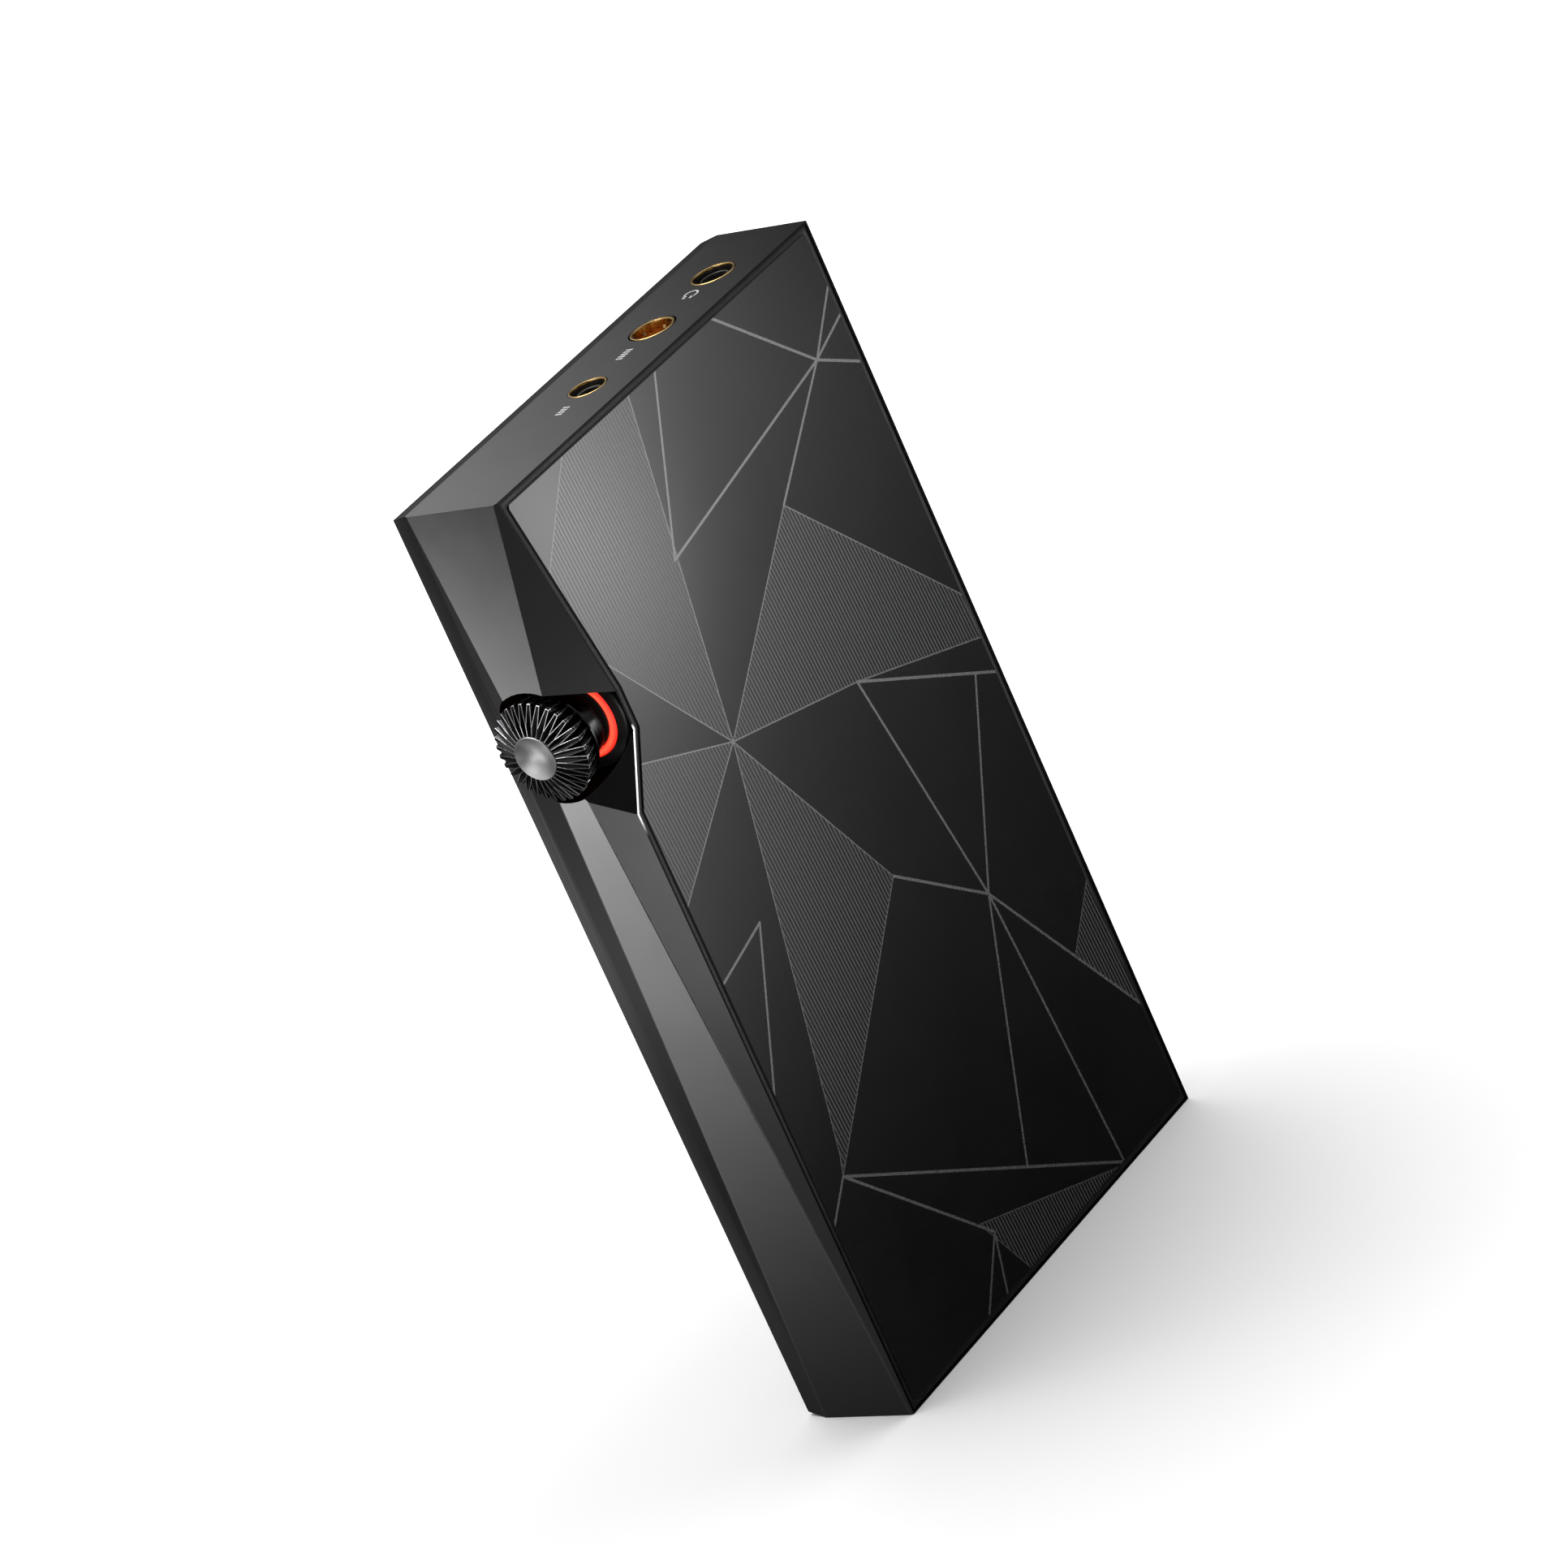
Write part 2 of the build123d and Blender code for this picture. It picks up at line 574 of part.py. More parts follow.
with BuildPart() as wheel_knob:
    with BuildSketch(PROFILE):
        with BuildLine():
            Polyline((34.4, SHAFT_R + 0.01), (34.4, 5.0), (KNOB_BACK_X, 5.0),
                     (KNOB_BACK_X, 6.64), (38.5, 6.64), (38.6, 6.35), (40.8, 7.2),
                     (KNOB_TIP_X, KNOB_R), (42.72, 4.5), (43.1, DISH_R + 0.01),
                     (41.2, DISH_R + 0.01), (41.2, SHAFT_R + 0.01), close=True)
        make_face()
    revolve(axis=AXLE)
    with Locations(SIDE):
        with PolarLocations(0, TEETH):
            add(groove_wedge.part, mode=Mode.SUBTRACT)
wheel_knob.part.label = "wheel_knob"
export_step(wheel_knob.part, "parts/wheel_knob.step")

dish_sphere = ((DISH_R - 0.12) ** 2 + DISH_DEPTH ** 2) / (2 * DISH_DEPTH)
dish_mid = (DISH_X - DISH_DEPTH + dish_sphere - math.sqrt(dish_sphere ** 2 - 1.6 ** 2), 1.6)

with BuildPart() as wheel_cap:
    with BuildSketch(PROFILE):
        with BuildLine():
            Line((41.25, 0), (41.25, DISH_R))
            Line((41.25, DISH_R), (DISH_X - 0.1, DISH_R))
            Line((DISH_X - 0.1, DISH_R), (DISH_X, DISH_R - 0.12))
            ThreePointArc((DISH_X, DISH_R - 0.12), dish_mid, (DISH_X - DISH_DEPTH, 0))
            Line((DISH_X - DISH_DEPTH, 0), (41.25, 0))
        make_face()
    revolve(axis=AXLE)
wheel_cap.part.label = "wheel_cap"
export_step(wheel_cap.part, "parts/wheel_cap.step")

with BuildPart() as wheel_shaft:
    with BuildSketch(side(28.98)):
        Circle(SHAFT_R)
    extrude(amount=41.18 - 28.98)
    with BuildSketch(side(22.2)):
        Circle(SHAFT_SMALL_R)
        with Locations((0, 2.1)):
            Rectangle(4.0, 2.0, mode=Mode.SUBTRACT)
    extrude(amount=28.98 - 22.2)
wheel_shaft.part.label = "wheel_shaft"
export_step(wheel_shaft.part, "parts/wheel_shaft.step")

with BuildPart() as wheel_bushing:
    with BuildSketch(side(WHEEL_WALL_X)):
        Circle(3.2)
    extrude(amount=WELL_FLOOR_X - WHEEL_WALL_X + 0.02)
    with BuildSketch(side(WELL_FLOOR_X + 0.02)):
        Circle(4.8)
    extrude(amount=0.7)
    with BuildSketch(side(WHEEL_WALL_X - 0.5)):
        Circle(SHAFT_R + 0.05)
    extrude(amount=4.5, mode=Mode.SUBTRACT)
wheel_bushing.part.label = "wheel_bushing"
export_step(wheel_bushing.part, "parts/wheel_bushing.step")

# rotary encoder: body with a turning hub that the shaft slides in
with BuildPart() as encoder_body:
    with BuildSketch(side(20.5)):
        Rectangle(11.0, 11.0)
        Circle(2.55, mode=Mode.SUBTRACT)
    extrude(amount=28.88 - 20.5)
encoder_body.part.label = "encoder_body"
export_step(encoder_body.part, "parts/encoder_body.step")

with BuildPart() as encoder_rotor:
    with BuildSketch(side(22.9)):
        Circle(2.5)
        Circle(SHAFT_SMALL_R + 0.04, mode=Mode.SUBTRACT)
        with Locations((0, 1.34)):
            Rectangle(2.0, 0.38)
    extrude(amount=28.5 - 22.9)
encoder_rotor.part.label = "encoder_rotor"
export_step(encoder_rotor.part, "parts/encoder_rotor.step")

with BuildPart() as encoder_board:
    with BuildSketch(side(19.65)):
        Rectangle(11.0, 13.0)
    extrude(amount=0.82)
encoder_board.part.label = "encoder_board"
export_step(encoder_board.part, "parts/encoder_board.step")

with BuildPart() as power_switch:
    with BuildSketch(side(20.49)):
        RectangleRounded(3.2, 3.2, 0.4)
    extrude(amount=0.7)
    with BuildSketch(side(21.19)):
        Circle(0.9)
    extrude(amount=0.42)
power_switch.part.label = "power_switch"
export_step(power_switch.part, "parts/power_switch.step")

with BuildPart() as wheel_flex:
    with BuildSketch(Plane.XY.offset(103.0)):
        with BuildLine():
            Polyline((13.0, 3.42), (19.63, 3.42), (19.63, 6.4), (19.45, 6.4), (19.45, 3.6),
                     (13.0, 3.6), close=True)
        make_face()
    extrude(amount=5.0)
wheel_flex.part.label = "wheel_flex"
export_step(wheel_flex.part, "parts/wheel_flex.step")

# light ring on the floor of the wheel well
with BuildPart() as led_board:
    with BuildSketch(side(WELL_FLOOR_X + 0.01)):
        Circle(7.45)
        Circle(4.86, mode=Mode.SUBTRACT)
    extrude(amount=0.38)
led_board.part.label = "led_board"
export_step(led_board.part, "parts/led_board.step")

with BuildPart() as light_ring:
    with BuildSketch(side(WELL_FLOOR_X + 0.4)):
        Circle(6.1)
        Circle(4.88, mode=Mode.SUBTRACT)
    extrude(amount=0.55)
    chamfer(light_ring.faces().sort_by(Axis.X)[-1].edges(), length=0.12)
light_ring.part.label = "light_ring"
export_step(light_ring.part, "parts/light_ring.step")

with BuildPart() as wheel_well_plate:
    with BuildSketch(side(WELL_FLOOR_X + 0.4)):
        Circle(7.5)
        Circle(6.13, mode=Mode.SUBTRACT)
    extrude(amount=0.35)
wheel_well_plate.part.label = "wheel_well_plate"
export_step(wheel_well_plate.part, "parts/wheel_well_plate.step")

# ------------------------------------------------------------- side buttons --
# Each button is a rounded bar with a flange behind the wall and a nub that
# reaches towards its switch.
CAP_X = -HALF_W - BUTTON_PROUD
FLANGE_X = -HALF_W + SIDE_WALL + 0.04

with BuildPart() as previous_button:
    with BuildSketch(Plane.YZ.offset(CAP_X)):
        with Locations((BUTTON_Y, BUTTON_Z["previous_button"])):
            SlotOverall(BUTTON_L, BUTTON_W, rotation=90)
    extrude(amount=FLANGE_X - CAP_X)
    chamfer(previous_button.faces().sort_by(Axis.X)[0].edges(), length=0.25)
    with BuildSketch(Plane.YZ.offset(FLANGE_X)):
        with Locations((BUTTON_Y, BUTTON_Z["previous_button"])):
            SlotOverall(BUTTON_L + 1.6, BUTTON_W + 1.6, rotation=90)
    extrude(amount=0.6)
    with BuildSketch(Plane.YZ.offset(FLANGE_X + 0.6)):
        with Locations((BUTTON_Y, BUTTON_Z["previous_button"])):
            Circle(0.8)
    extrude(amount=0.5)
previous_button.part.label = "previous_button"
export_step(previous_button.part, "parts/previous_button.step")

with BuildPart() as play_button:
    with BuildSketch(Plane.YZ.offset(CAP_X)):
        with Locations((BUTTON_Y, BUTTON_Z["play_button"])):
            SlotOverall(BUTTON_L, BUTTON_W, rotation=90)
    extrude(amount=FLANGE_X - CAP_X)
    chamfer(play_button.faces().sort_by(Axis.X)[0].edges(), length=0.25)
    with BuildSketch(Plane.YZ.offset(FLANGE_X)):
        with Locations((BUTTON_Y, BUTTON_Z["play_button"])):
            SlotOverall(BUTTON_L + 1.6, BUTTON_W + 1.6, rotation=90)
    extrude(amount=0.6)
    with BuildSketch(Plane.YZ.offset(FLANGE_X + 0.6)):
        with Locations((BUTTON_Y, BUTTON_Z["play_button"])):
            Circle(0.8)
    extrude(amount=0.5)
play_button.part.label = "play_button"
export_step(play_button.part, "parts/play_button.step")

with BuildPart() as next_button:
    with BuildSketch(Plane.YZ.offset(CAP_X)):
        with Locations((BUTTON_Y, BUTTON_Z["next_button"])):
            SlotOverall(BUTTON_L, BUTTON_W, rotation=90)
    extrude(amount=FLANGE_X - CAP_X)
    chamfer(next_button.faces().sort_by(Axis.X)[0].edges(), length=0.25)
    with BuildSketch(Plane.YZ.offset(FLANGE_X)):
        with Locations((BUTTON_Y, BUTTON_Z["next_button"])):
            SlotOverall(BUTTON_L + 1.6, BUTTON_W + 1.6, rotation=90)
    extrude(amount=0.6)
    with BuildSketch(Plane.YZ.offset(FLANGE_X + 0.6)):
        with Locations((BUTTON_Y, BUTTON_Z["next_button"])):
            Circle(0.8)
    extrude(amount=0.5)
next_button.part.label = "next_button"
export_step(next_button.part, "parts/next_button.step")

SWITCH_X = FLANGE_X + 1.1 + 0.5          # plunger tops, clear of the pressed nubs
BUTTON_POINTS = [(BUTTON_Y, z) for z in BUTTON_Z.values()]

with BuildPart() as button_switches:
    with BuildSketch(Plane.YZ.offset(SWITCH_X + 0.3)):
        with Locations(*BUTTON_POINTS):
            RectangleRounded(3.0, 4.0, 0.3)
    extrude(amount=0.8)
    with BuildSketch(Plane.YZ.offset(SWITCH_X)):
        with Locations(*BUTTON_POINTS):
            Circle(0.75)
    extrude(amount=0.3)
button_switches.part.label = "button_switches"
export_step(button_switches.part, "parts/button_switches.step")

with BuildPart() as button_board:
    with BuildSketch(Plane.YZ.offset(SWITCH_X + 1.11)):
        with Locations((BUTTON_Y, 105.5)):
            Rectangle(5.0, 38.0)
    extrude(amount=0.5)
button_board.part.label = "button_board"
export_step(button_board.part, "parts/button_board.step")

with BuildPart() as button_bracket:
    with BuildSketch(Plane.YZ.offset(SWITCH_X + 1.62)):
        with Locations((-0.6, 105.5)):
            Rectangle(8.4, 39.0)
    extrude(amount=0.4)
    with BuildSketch(xz(-4.78)):
        with Locations((SWITCH_X + 2.02, 105.5)):
            Rectangle(3.0, 39.0, align=(Align.MIN, Align.CENTER))
    extrude(amount=0.4)
    with BuildSketch(xz(-4.78)):
        with Locations((SWITCH_X + 1.62, 105.5)):
            Rectangle(0.4, 39.0, align=(Align.MIN, Align.CENTER))
    extrude(amount=0.4)
button_bracket.part.label = "button_bracket"
export_step(button_bracket.part, "parts/button_bracket.step")

# --------------------------------------------------------------- bottom end --
with BuildPart() as bottom_board:
    with BuildSketch(xz(-0.42)):
        with Locations((-9.0, 10.6)):
            Rectangle(42.0, 15.0)
        with Locations(*LOW_POSTS):
            Circle(0.85, mode=Mode.SUBTRACT)
    extrude(amount=0.96)
bottom_board.part.label = "bottom_board"
export_step(bottom_board.part, "parts/bottom_board.step")

with BuildPart() as usb_c_receptacle:
    with BuildSketch(Plane.XY.offset(0.25)):
        with Locations((0, 1.2)):
            SlotOverall(8.94, 3.16)
    extrude(amount=7.3)
    with BuildSketch(Plane.XY.offset(0.25)):
        with Locations((0, 1.2)):
            SlotOverall(8.34, 2.56)
    extrude(amount=6.6, mode=Mode.SUBTRACT)
    with BuildSketch(Plane.XY.offset(1.2)):
        with Locations((0, 1.2)):
            Rectangle(6.7, 0.7)
    extrude(amount=6.0)
usb_c_receptacle.part.label = "usb_c_receptacle"
export_step(usb_c_receptacle.part, "parts/usb_c_receptacle.step")

with BuildPart() as microsd_socket:
    with BuildSketch(Plane.XY.offset(2.7)):
        with Locations((-20.0, 0.35)):
            Rectangle(12.6, 1.5)
    extrude(amount=14.0)
    with BuildSketch(Plane.XY.offset(2.2)):
        with Locations((-20.0, 0.35)):
            Rectangle(11.3, 0.9)
    extrude(amount=13.6, mode=Mode.SUBTRACT)
microsd_socket.part.label = "microsd_socket"
export_step(microsd_socket.part, "parts/microsd_socket.step")

# ------------------------------------------------------------------- screws --
with BuildPart() as board_screws:
    for points, head_y, length in ((POSTS, MAIN_Y1 + 0.02, 4.2), (LOW_POSTS, -0.4, 3.0),
                                   (JACK_POSTS, -2.03, 2.2)):
        with BuildSketch(xz(head_y + 0.6)):
            with Locations(*points):
                Circle(1.3)
        extrude(amount=0.6)
        with BuildSketch(xz(head_y)):
            with Locations(*points):
                Circle(0.69)
        extrude(amount=length)
        with BuildSketch(xz(head_y + 0.7)):
            with Locations(*points):
                RegularPolygon(0.55, 6)
        extrude(amount=0.45, mode=Mode.SUBTRACT)
board_screws.part.label = "board_screws"
export_step(board_screws.part, "parts/board_screws.step")
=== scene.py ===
import math

import bmesh
import bpy
from mathutils import Matrix, Vector
from mathutils.geometry import delaunay_2d_cdt


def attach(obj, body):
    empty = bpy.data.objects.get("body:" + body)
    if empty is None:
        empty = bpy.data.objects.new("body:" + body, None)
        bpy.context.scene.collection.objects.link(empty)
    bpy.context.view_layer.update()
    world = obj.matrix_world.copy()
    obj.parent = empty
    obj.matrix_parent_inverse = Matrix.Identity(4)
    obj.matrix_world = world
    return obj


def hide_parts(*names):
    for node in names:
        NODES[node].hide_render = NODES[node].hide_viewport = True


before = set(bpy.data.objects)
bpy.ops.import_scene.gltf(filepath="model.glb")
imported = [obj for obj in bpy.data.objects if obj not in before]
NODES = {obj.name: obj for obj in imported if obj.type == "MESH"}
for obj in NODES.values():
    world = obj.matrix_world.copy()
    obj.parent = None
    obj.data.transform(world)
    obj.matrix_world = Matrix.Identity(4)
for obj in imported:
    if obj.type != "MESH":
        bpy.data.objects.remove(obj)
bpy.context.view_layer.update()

MM = 0.001
TAU = 2 * math.pi


# ======================================================================= nodes
class Mat:
    """A material under construction: a Principled shader and short ways to add nodes."""

    def __init__(self, name, **sockets):
        self.m = bpy.data.materials.new(name)
        self.m.use_nodes = True
        self.t = self.m.node_tree
        self.t.nodes.clear()
        self.out = self.t.nodes.new("ShaderNodeOutputMaterial")
        self.b = self.t.nodes.new("ShaderNodeBsdfPrincipled")
        self.t.links.new(self.b.outputs[0], self.out.inputs[0])
        for k, v in sockets.items():
            self.b.inputs[k.replace("_", " ")].default_value = v
        self.tc = self.t.nodes.new("ShaderNodeTexCoord")

    def link(self, a, b):
        self.t.links.new(a, b)

    def put(self, value, socket):
        if isinstance(value, bpy.types.NodeSocket):
            self.link(value, socket)
        elif value is not None:
            socket.default_value = value

    def obj(self, scale=(1, 1, 1), rot=(0, 0, 0), loc=(0, 0, 0)):
        n = self.t.nodes.new("ShaderNodeMapping")
        n.inputs["Scale"].default_value = scale
        n.inputs["Rotation"].default_value = rot
        n.inputs["Location"].default_value = loc
        self.link(self.tc.outputs["Object"], n.inputs[0])
        return n.outputs[0]

    def noise(self, scale, detail=3.0, rough=0.5, vec=None, distortion=0.0):
        n = self.t.nodes.new("ShaderNodeTexNoise")
        n.inputs["Scale"].default_value = scale
        n.inputs["Detail"].default_value = detail
        n.inputs["Roughness"].default_value = rough
        n.inputs["Distortion"].default_value = distortion
        self.link(vec or self.tc.outputs["Object"], n.inputs["Vector"])
        return n.outputs["Fac"]

    def voronoi(self, scale, vec=None, feature="F1", out="Distance"):
        n = self.t.nodes.new("ShaderNodeTexVoronoi")
        n.feature = feature
        n.inputs["Scale"].default_value = scale
        self.link(vec or self.tc.outputs["Object"], n.inputs["Vector"])
        return n.outputs[out]

    def math(self, op, a, b=None, c=None, clamp=False):
        n = self.t.nodes.new("ShaderNodeMath")
        n.operation = op
        n.use_clamp = clamp
        self.put(a, n.inputs[0])
        self.put(b, n.inputs[1])
        self.put(c, n.inputs[2])
        return n.outputs[0]

    def ramp(self, value, lo, hi, to_lo=0.0, to_hi=1.0, smooth=True):
        n = self.t.nodes.new("ShaderNodeMapRange")
        n.interpolation_type = "SMOOTHSTEP" if smooth else "LINEAR"
        self.put(value, n.inputs["Value"])
        n.inputs["From Min"].default_value = lo
        n.inputs["From Max"].default_value = hi
        n.inputs["To Min"].default_value = to_lo
        n.inputs["To Max"].default_value = to_hi
        return n.outputs["Result"]

    def mix(self, fac, a, b, blend="MIX"):
        n = self.t.nodes.new("ShaderNodeMix")
        n.data_type = "RGBA"
        n.blend_type = blend
        self.put(fac, n.inputs["Factor"])
        self.put(rgba(a) if isinstance(a, tuple) else a, n.inputs["A"])
        self.put(rgba(b) if isinstance(b, tuple) else b, n.inputs["B"])
        return n.outputs["Result"]

    def xyz(self, vec=None):
        n = self.t.nodes.new("ShaderNodeSeparateXYZ")
        self.link(vec or self.tc.outputs["Object"], n.inputs[0])
        return n.outputs[0], n.outputs[1], n.outputs[2]

    def attr(self, name):
        n = self.t.nodes.new("ShaderNodeAttribute")
        n.attribute_name = name
        return n.outputs["Fac"]

    def bump(self, height, strength=0.2, distance=0.0001, normal=None):
        n = self.t.nodes.new("ShaderNodeBump")
        n.inputs["Strength"].default_value = strength
        n.inputs["Distance"].default_value = distance
        self.link(height, n.inputs["Height"])
        if normal is not None:
            self.link(normal, n.inputs["Normal"])
        self.link(n.outputs[0], self.b.inputs["Normal"])
        return n.outputs[0]

    def color(self, v):
        self.put(rgba(v) if isinstance(v, tuple) else v, self.b.inputs["Base Color"])

    def rough(self, v):
        self.put(v, self.b.inputs["Roughness"])


def rgba(c):
    return (c[0], c[1], c[2], 1.0)


def grey(v):
    return (v, v, v)


def surface(name, dark, light, rough=(0.3, 0.45), metallic=0.0, tone_scale=180.0,
            grain=2600.0, bump=0.12, stretch=(1, 1, 1), edge=None, **sockets):
    """A finish with slow tone changes, fine grain in its roughness and relief, and worn edges."""
    m = Mat(name, Metallic=metallic, **sockets)
    v = m.obj(scale=stretch)
    tone = m.noise(tone_scale, 4.0, 0.55, v)
    fine = m.noise(grain, 5.0, 0.6, v)
    c = m.mix(m.ramp(tone, 0.3, 0.7), dark, light)
    r = m.ramp(m.math("ADD", m.math("MULTIPLY", tone, 0.5), m.math("MULTIPLY", fine, 0.5)),
               0.35, 0.65, rough[0], rough[1])
    if edge is not None:
        worn = m.math("MULTIPLY", m.attr("edge"), m.ramp(m.noise(900.0, 4.0, 0.7), 0.35, 0.6, 0.35, 1.0))
        c = m.mix(worn, c, edge)
    m.color(c)
    m.rough(r)
    m.bump(fine, bump, 0.00004)
    return m.m


# ================================================================= mesh helpers
def finish_mesh(bm, name, materials, body, replaces=(), smooth=None, weighted=False):
    """Writes a bmesh in millimetres to a new object in metres, which rides on a body."""
    bmesh.ops.scale(bm, vec=(MM, MM, MM), verts=bm.verts)
    bm.normal_update()
    if smooth is not None:
        for e in bm.edges:
            if len(e.link_faces) == 2:
                e.smooth = e.calc_face_angle(0.0) < math.radians(smooth)
            else:
                e.smooth = False
        for f in bm.faces:
            f.smooth = True
    me = bpy.data.meshes.new(name)
    bm.to_mesh(me)
    bm.free()
    for m in materials:
        me.materials.append(m)
    ob = bpy.data.objects.new(name, me)
    bpy.context.scene.collection.objects.link(ob)
    if weighted:
        w = ob.modifiers.new("normals", "WEIGHTED_NORMAL")
        w.weight = 90
        w.keep_sharp = True
    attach(ob, body)
    if replaces:
        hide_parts(*replaces)
    return ob


def cad_bmesh(node):
    """A copy of a CAD node's mesh in millimetres, with shared corners and flat faces joined."""
    bm = bmesh.new()
    bm.from_mesh(NODES[node].data)
    bmesh.ops.scale(bm, vec=(1000, 1000, 1000), verts=bm.verts)
    bmesh.ops.remove_doubles(bm, verts=bm.verts, dist=0.003)
    bmesh.ops.dissolve_degenerate(bm, edges=bm.edges, dist=0.001)
    bm.normal_update()
    bmesh.ops.dissolve_limit(bm, angle_limit=math.radians(0.6), use_dissolve_boundaries=False,
                             verts=bm.verts, edges=bm.edges)
    bm.normal_update()
    return bm


def bevel_edges(bm, edges, width, segments=2, clamp=True):
    """Rounds the edges and marks the new faces in the face attribute `edge`."""
    layer = bm.faces.layers.float.get("edge") or bm.faces.layers.float.new("edge")
    edges = [e for e in edges if e.is_valid]
    if not edges:
        return
    made = bmesh.ops.bevel(bm, geom=edges, offset=width, offset_type="OFFSET",
                           segments=segments, profile=0.5, affect="EDGES",
                           clamp_overlap=clamp, material=-1)
    layer = bm.faces.layers.float.get("edge")
    for f in made["faces"]:
        f[layer] = 1.0
    bm.normal_update()


def mid(e):
    return (e.verts[0].co + e.verts[1].co) / 2


def angle(e):
    return math.degrees(e.calc_face_angle(0.0)) if len(e.link_faces) == 2 else 0.0


def convex(e):
    return len(e.link_faces) == 2 and e.calc_face_angle_signed(0.0) > 0


def lathe(name, profile, material, body, replaces=(), axis="Z", origin=(0, 0, 0),
          steps=96, smooth=32, closed=True):
    """Turns a closed profile of (radius, height) points about an axis through origin."""
    bm = bmesh.new()
    rings = []
    for r, h in profile:
        if r < 1e-6:
            rings.append([bm.verts.new(place(axis, origin, 0, 0, h))])
        else:
            rings.append([bm.verts.new(place(axis, origin, r * math.cos(TAU * i / steps),
                                             r * math.sin(TAU * i / steps), h))
                          for i in range(steps)])
    count = len(rings) if closed else len(rings) - 1
    for k in range(count):
        a, b = rings[k], rings[(k + 1) % len(rings)]
        if len(a) == 1 and len(b) == 1:
            continue
        for i in range(steps):
            j = (i + 1) % steps
            if len(a) == 1:
                bm.faces.new((a[0], b[j], b[i]))
            elif len(b) == 1:
                bm.faces.new((a[i], a[j], b[0]))
            else:
                bm.faces.new((a[i], a[j], b[j], b[i]))
    bmesh.ops.recalc_face_normals(bm, faces=bm.faces)
    mats = material if isinstance(material, list) else [material]
    return finish_mesh(bm, name, mats, body, replaces, smooth=smooth)


def place(axis, o, u, v, h):
    if axis == "Z":
        return Vector((o[0] + u, o[1] + v, o[2] + h))
    return Vector((o[0] + h, o[1] + u, o[2] + v))


def arc(cx, cy, r, a0, a1, n):
    return [(cx + r * math.cos(math.radians(a0 + (a1 - a0) * i / n)),
             cy + r * math.sin(math.radians(a0 + (a1 - a0) * i / n))) for i in range(n + 1)]


def paint(node, material):
    o = NODES[node]
    o.data.materials.clear()
    o.data.materials.append(material)


# ==================================================================== materials
# Polished dark steel: faint fine grain along the body, slow tone changes, and
# edges rubbed a little brighter.
def steel():
    m = Mat("dark_polished_steel", Metallic=1.0)
    v = m.obj(scale=(1, 1, 0.12))
    grain = m.noise(5200.0, 4.0, 0.6, v)
    slow = m.noise(38.0, 3.0, 0.5)
    cloud = m.noise(320.0, 4.0, 0.6)
    c = m.mix(m.ramp(slow, 0.3, 0.7), (0.285, 0.285, 0.288), (0.33, 0.33, 0.332))
    worn = m.math("MULTIPLY", m.attr("edge"), m.ramp(m.noise(700.0, 4.0, 0.7), 0.3, 0.62, 0.45, 1.0))
    c = m.mix(worn, c, (0.47, 0.47, 0.475))
    m.color(c)
    r = m.math("ADD", m.math("MULTIPLY", grain, 0.05), m.math("MULTIPLY", cloud, 0.05))
    m.rough(m.math("ADD", r, 0.085))
    m.bump(grain, 0.05, 0.00001)
    return m.m


def glass_base(name, deep, **sockets):
    m = Mat(name, Metallic=0.0, IOR=1.56, **sockets)
    smudge = m.noise(55.0, 5.0, 0.6, distortion=0.6)
    fine = m.noise(2400.0, 3.0, 0.6)
    m.rough(m.math("ADD", m.ramp(smudge, 0.4, 0.75, 0.035, 0.075),
                   m.math("MULTIPLY", fine, 0.02)))
    m.color(m.mix(m.ramp(smudge, 0.3, 0.7), deep, tuple(c * 1.5 for c in deep)))
    m.bump(m.noise(30.0, 2.0, 0.5), 0.02, 0.00005)
    return m


def back_plain():
    return glass_base("back_glass_black", (0.0035, 0.0036, 0.0038)).m


# Engraved hatching: fine parallel lines under the gloss.
HATCH_PITCH = 0.62


def hatch():
    m = Mat("back_glass_hatched", Metallic=0.0, IOR=1.7)
    x, y, z = m.xyz()
    u = m.math("ADD", m.math("MULTIPLY", x, 1000.0), m.math("MULTIPLY", z, -60.0))
    s = m.math("SINE", m.math("MULTIPLY", u, TAU / HATCH_PITCH))
    band = m.ramp(s, -0.25, 0.45)
    grain = m.noise(4200.0, 3.0, 0.6)
    m.color(m.mix(band, (0.004, 0.004, 0.0042),
                  m.mix(grain, (0.040, 0.041, 0.042), (0.060, 0.061, 0.063))))
    m.rough(m.mix(band, grey(0.07), grey(0.24)))
    m.bump(band, 0.15, 0.00001)
    return m.m


def etched(name, a, b):
    m = Mat(name, Metallic=0.0, IOR=2.3)
    grain = m.noise(3800.0, 4.0, 0.65)
    m.color(m.mix(m.ramp(grain, 0.2, 0.8), grey(a), grey(b)))
    m.rough(m.ramp(grain, 0.3, 0.7, 0.24, 0.30))
    m.bump(grain, 0.04, 0.00001)
    return m.m


def front_glass():
    m = glass_base("front_glass_black", (0.0030, 0.0031, 0.0034))
    x, y, z = m.xyz()
    ax = m.math("ABSOLUTE", x)
    az = m.math("ABSOLUTE", m.math("SUBTRACT", z, 0.0702))
    inside = m.math("MULTIPLY", m.ramp(ax, 0.03385, 0.03395, 1.0, 0.0),
                    m.ramp(az, 0.0612, 0.0613, 1.0, 0.0))
    old = m.b.inputs["Base Color"].links[0].from_socket
    m.color(m.mix(inside, old, (0.0105, 0.0108, 0.0125)))
    return m.m


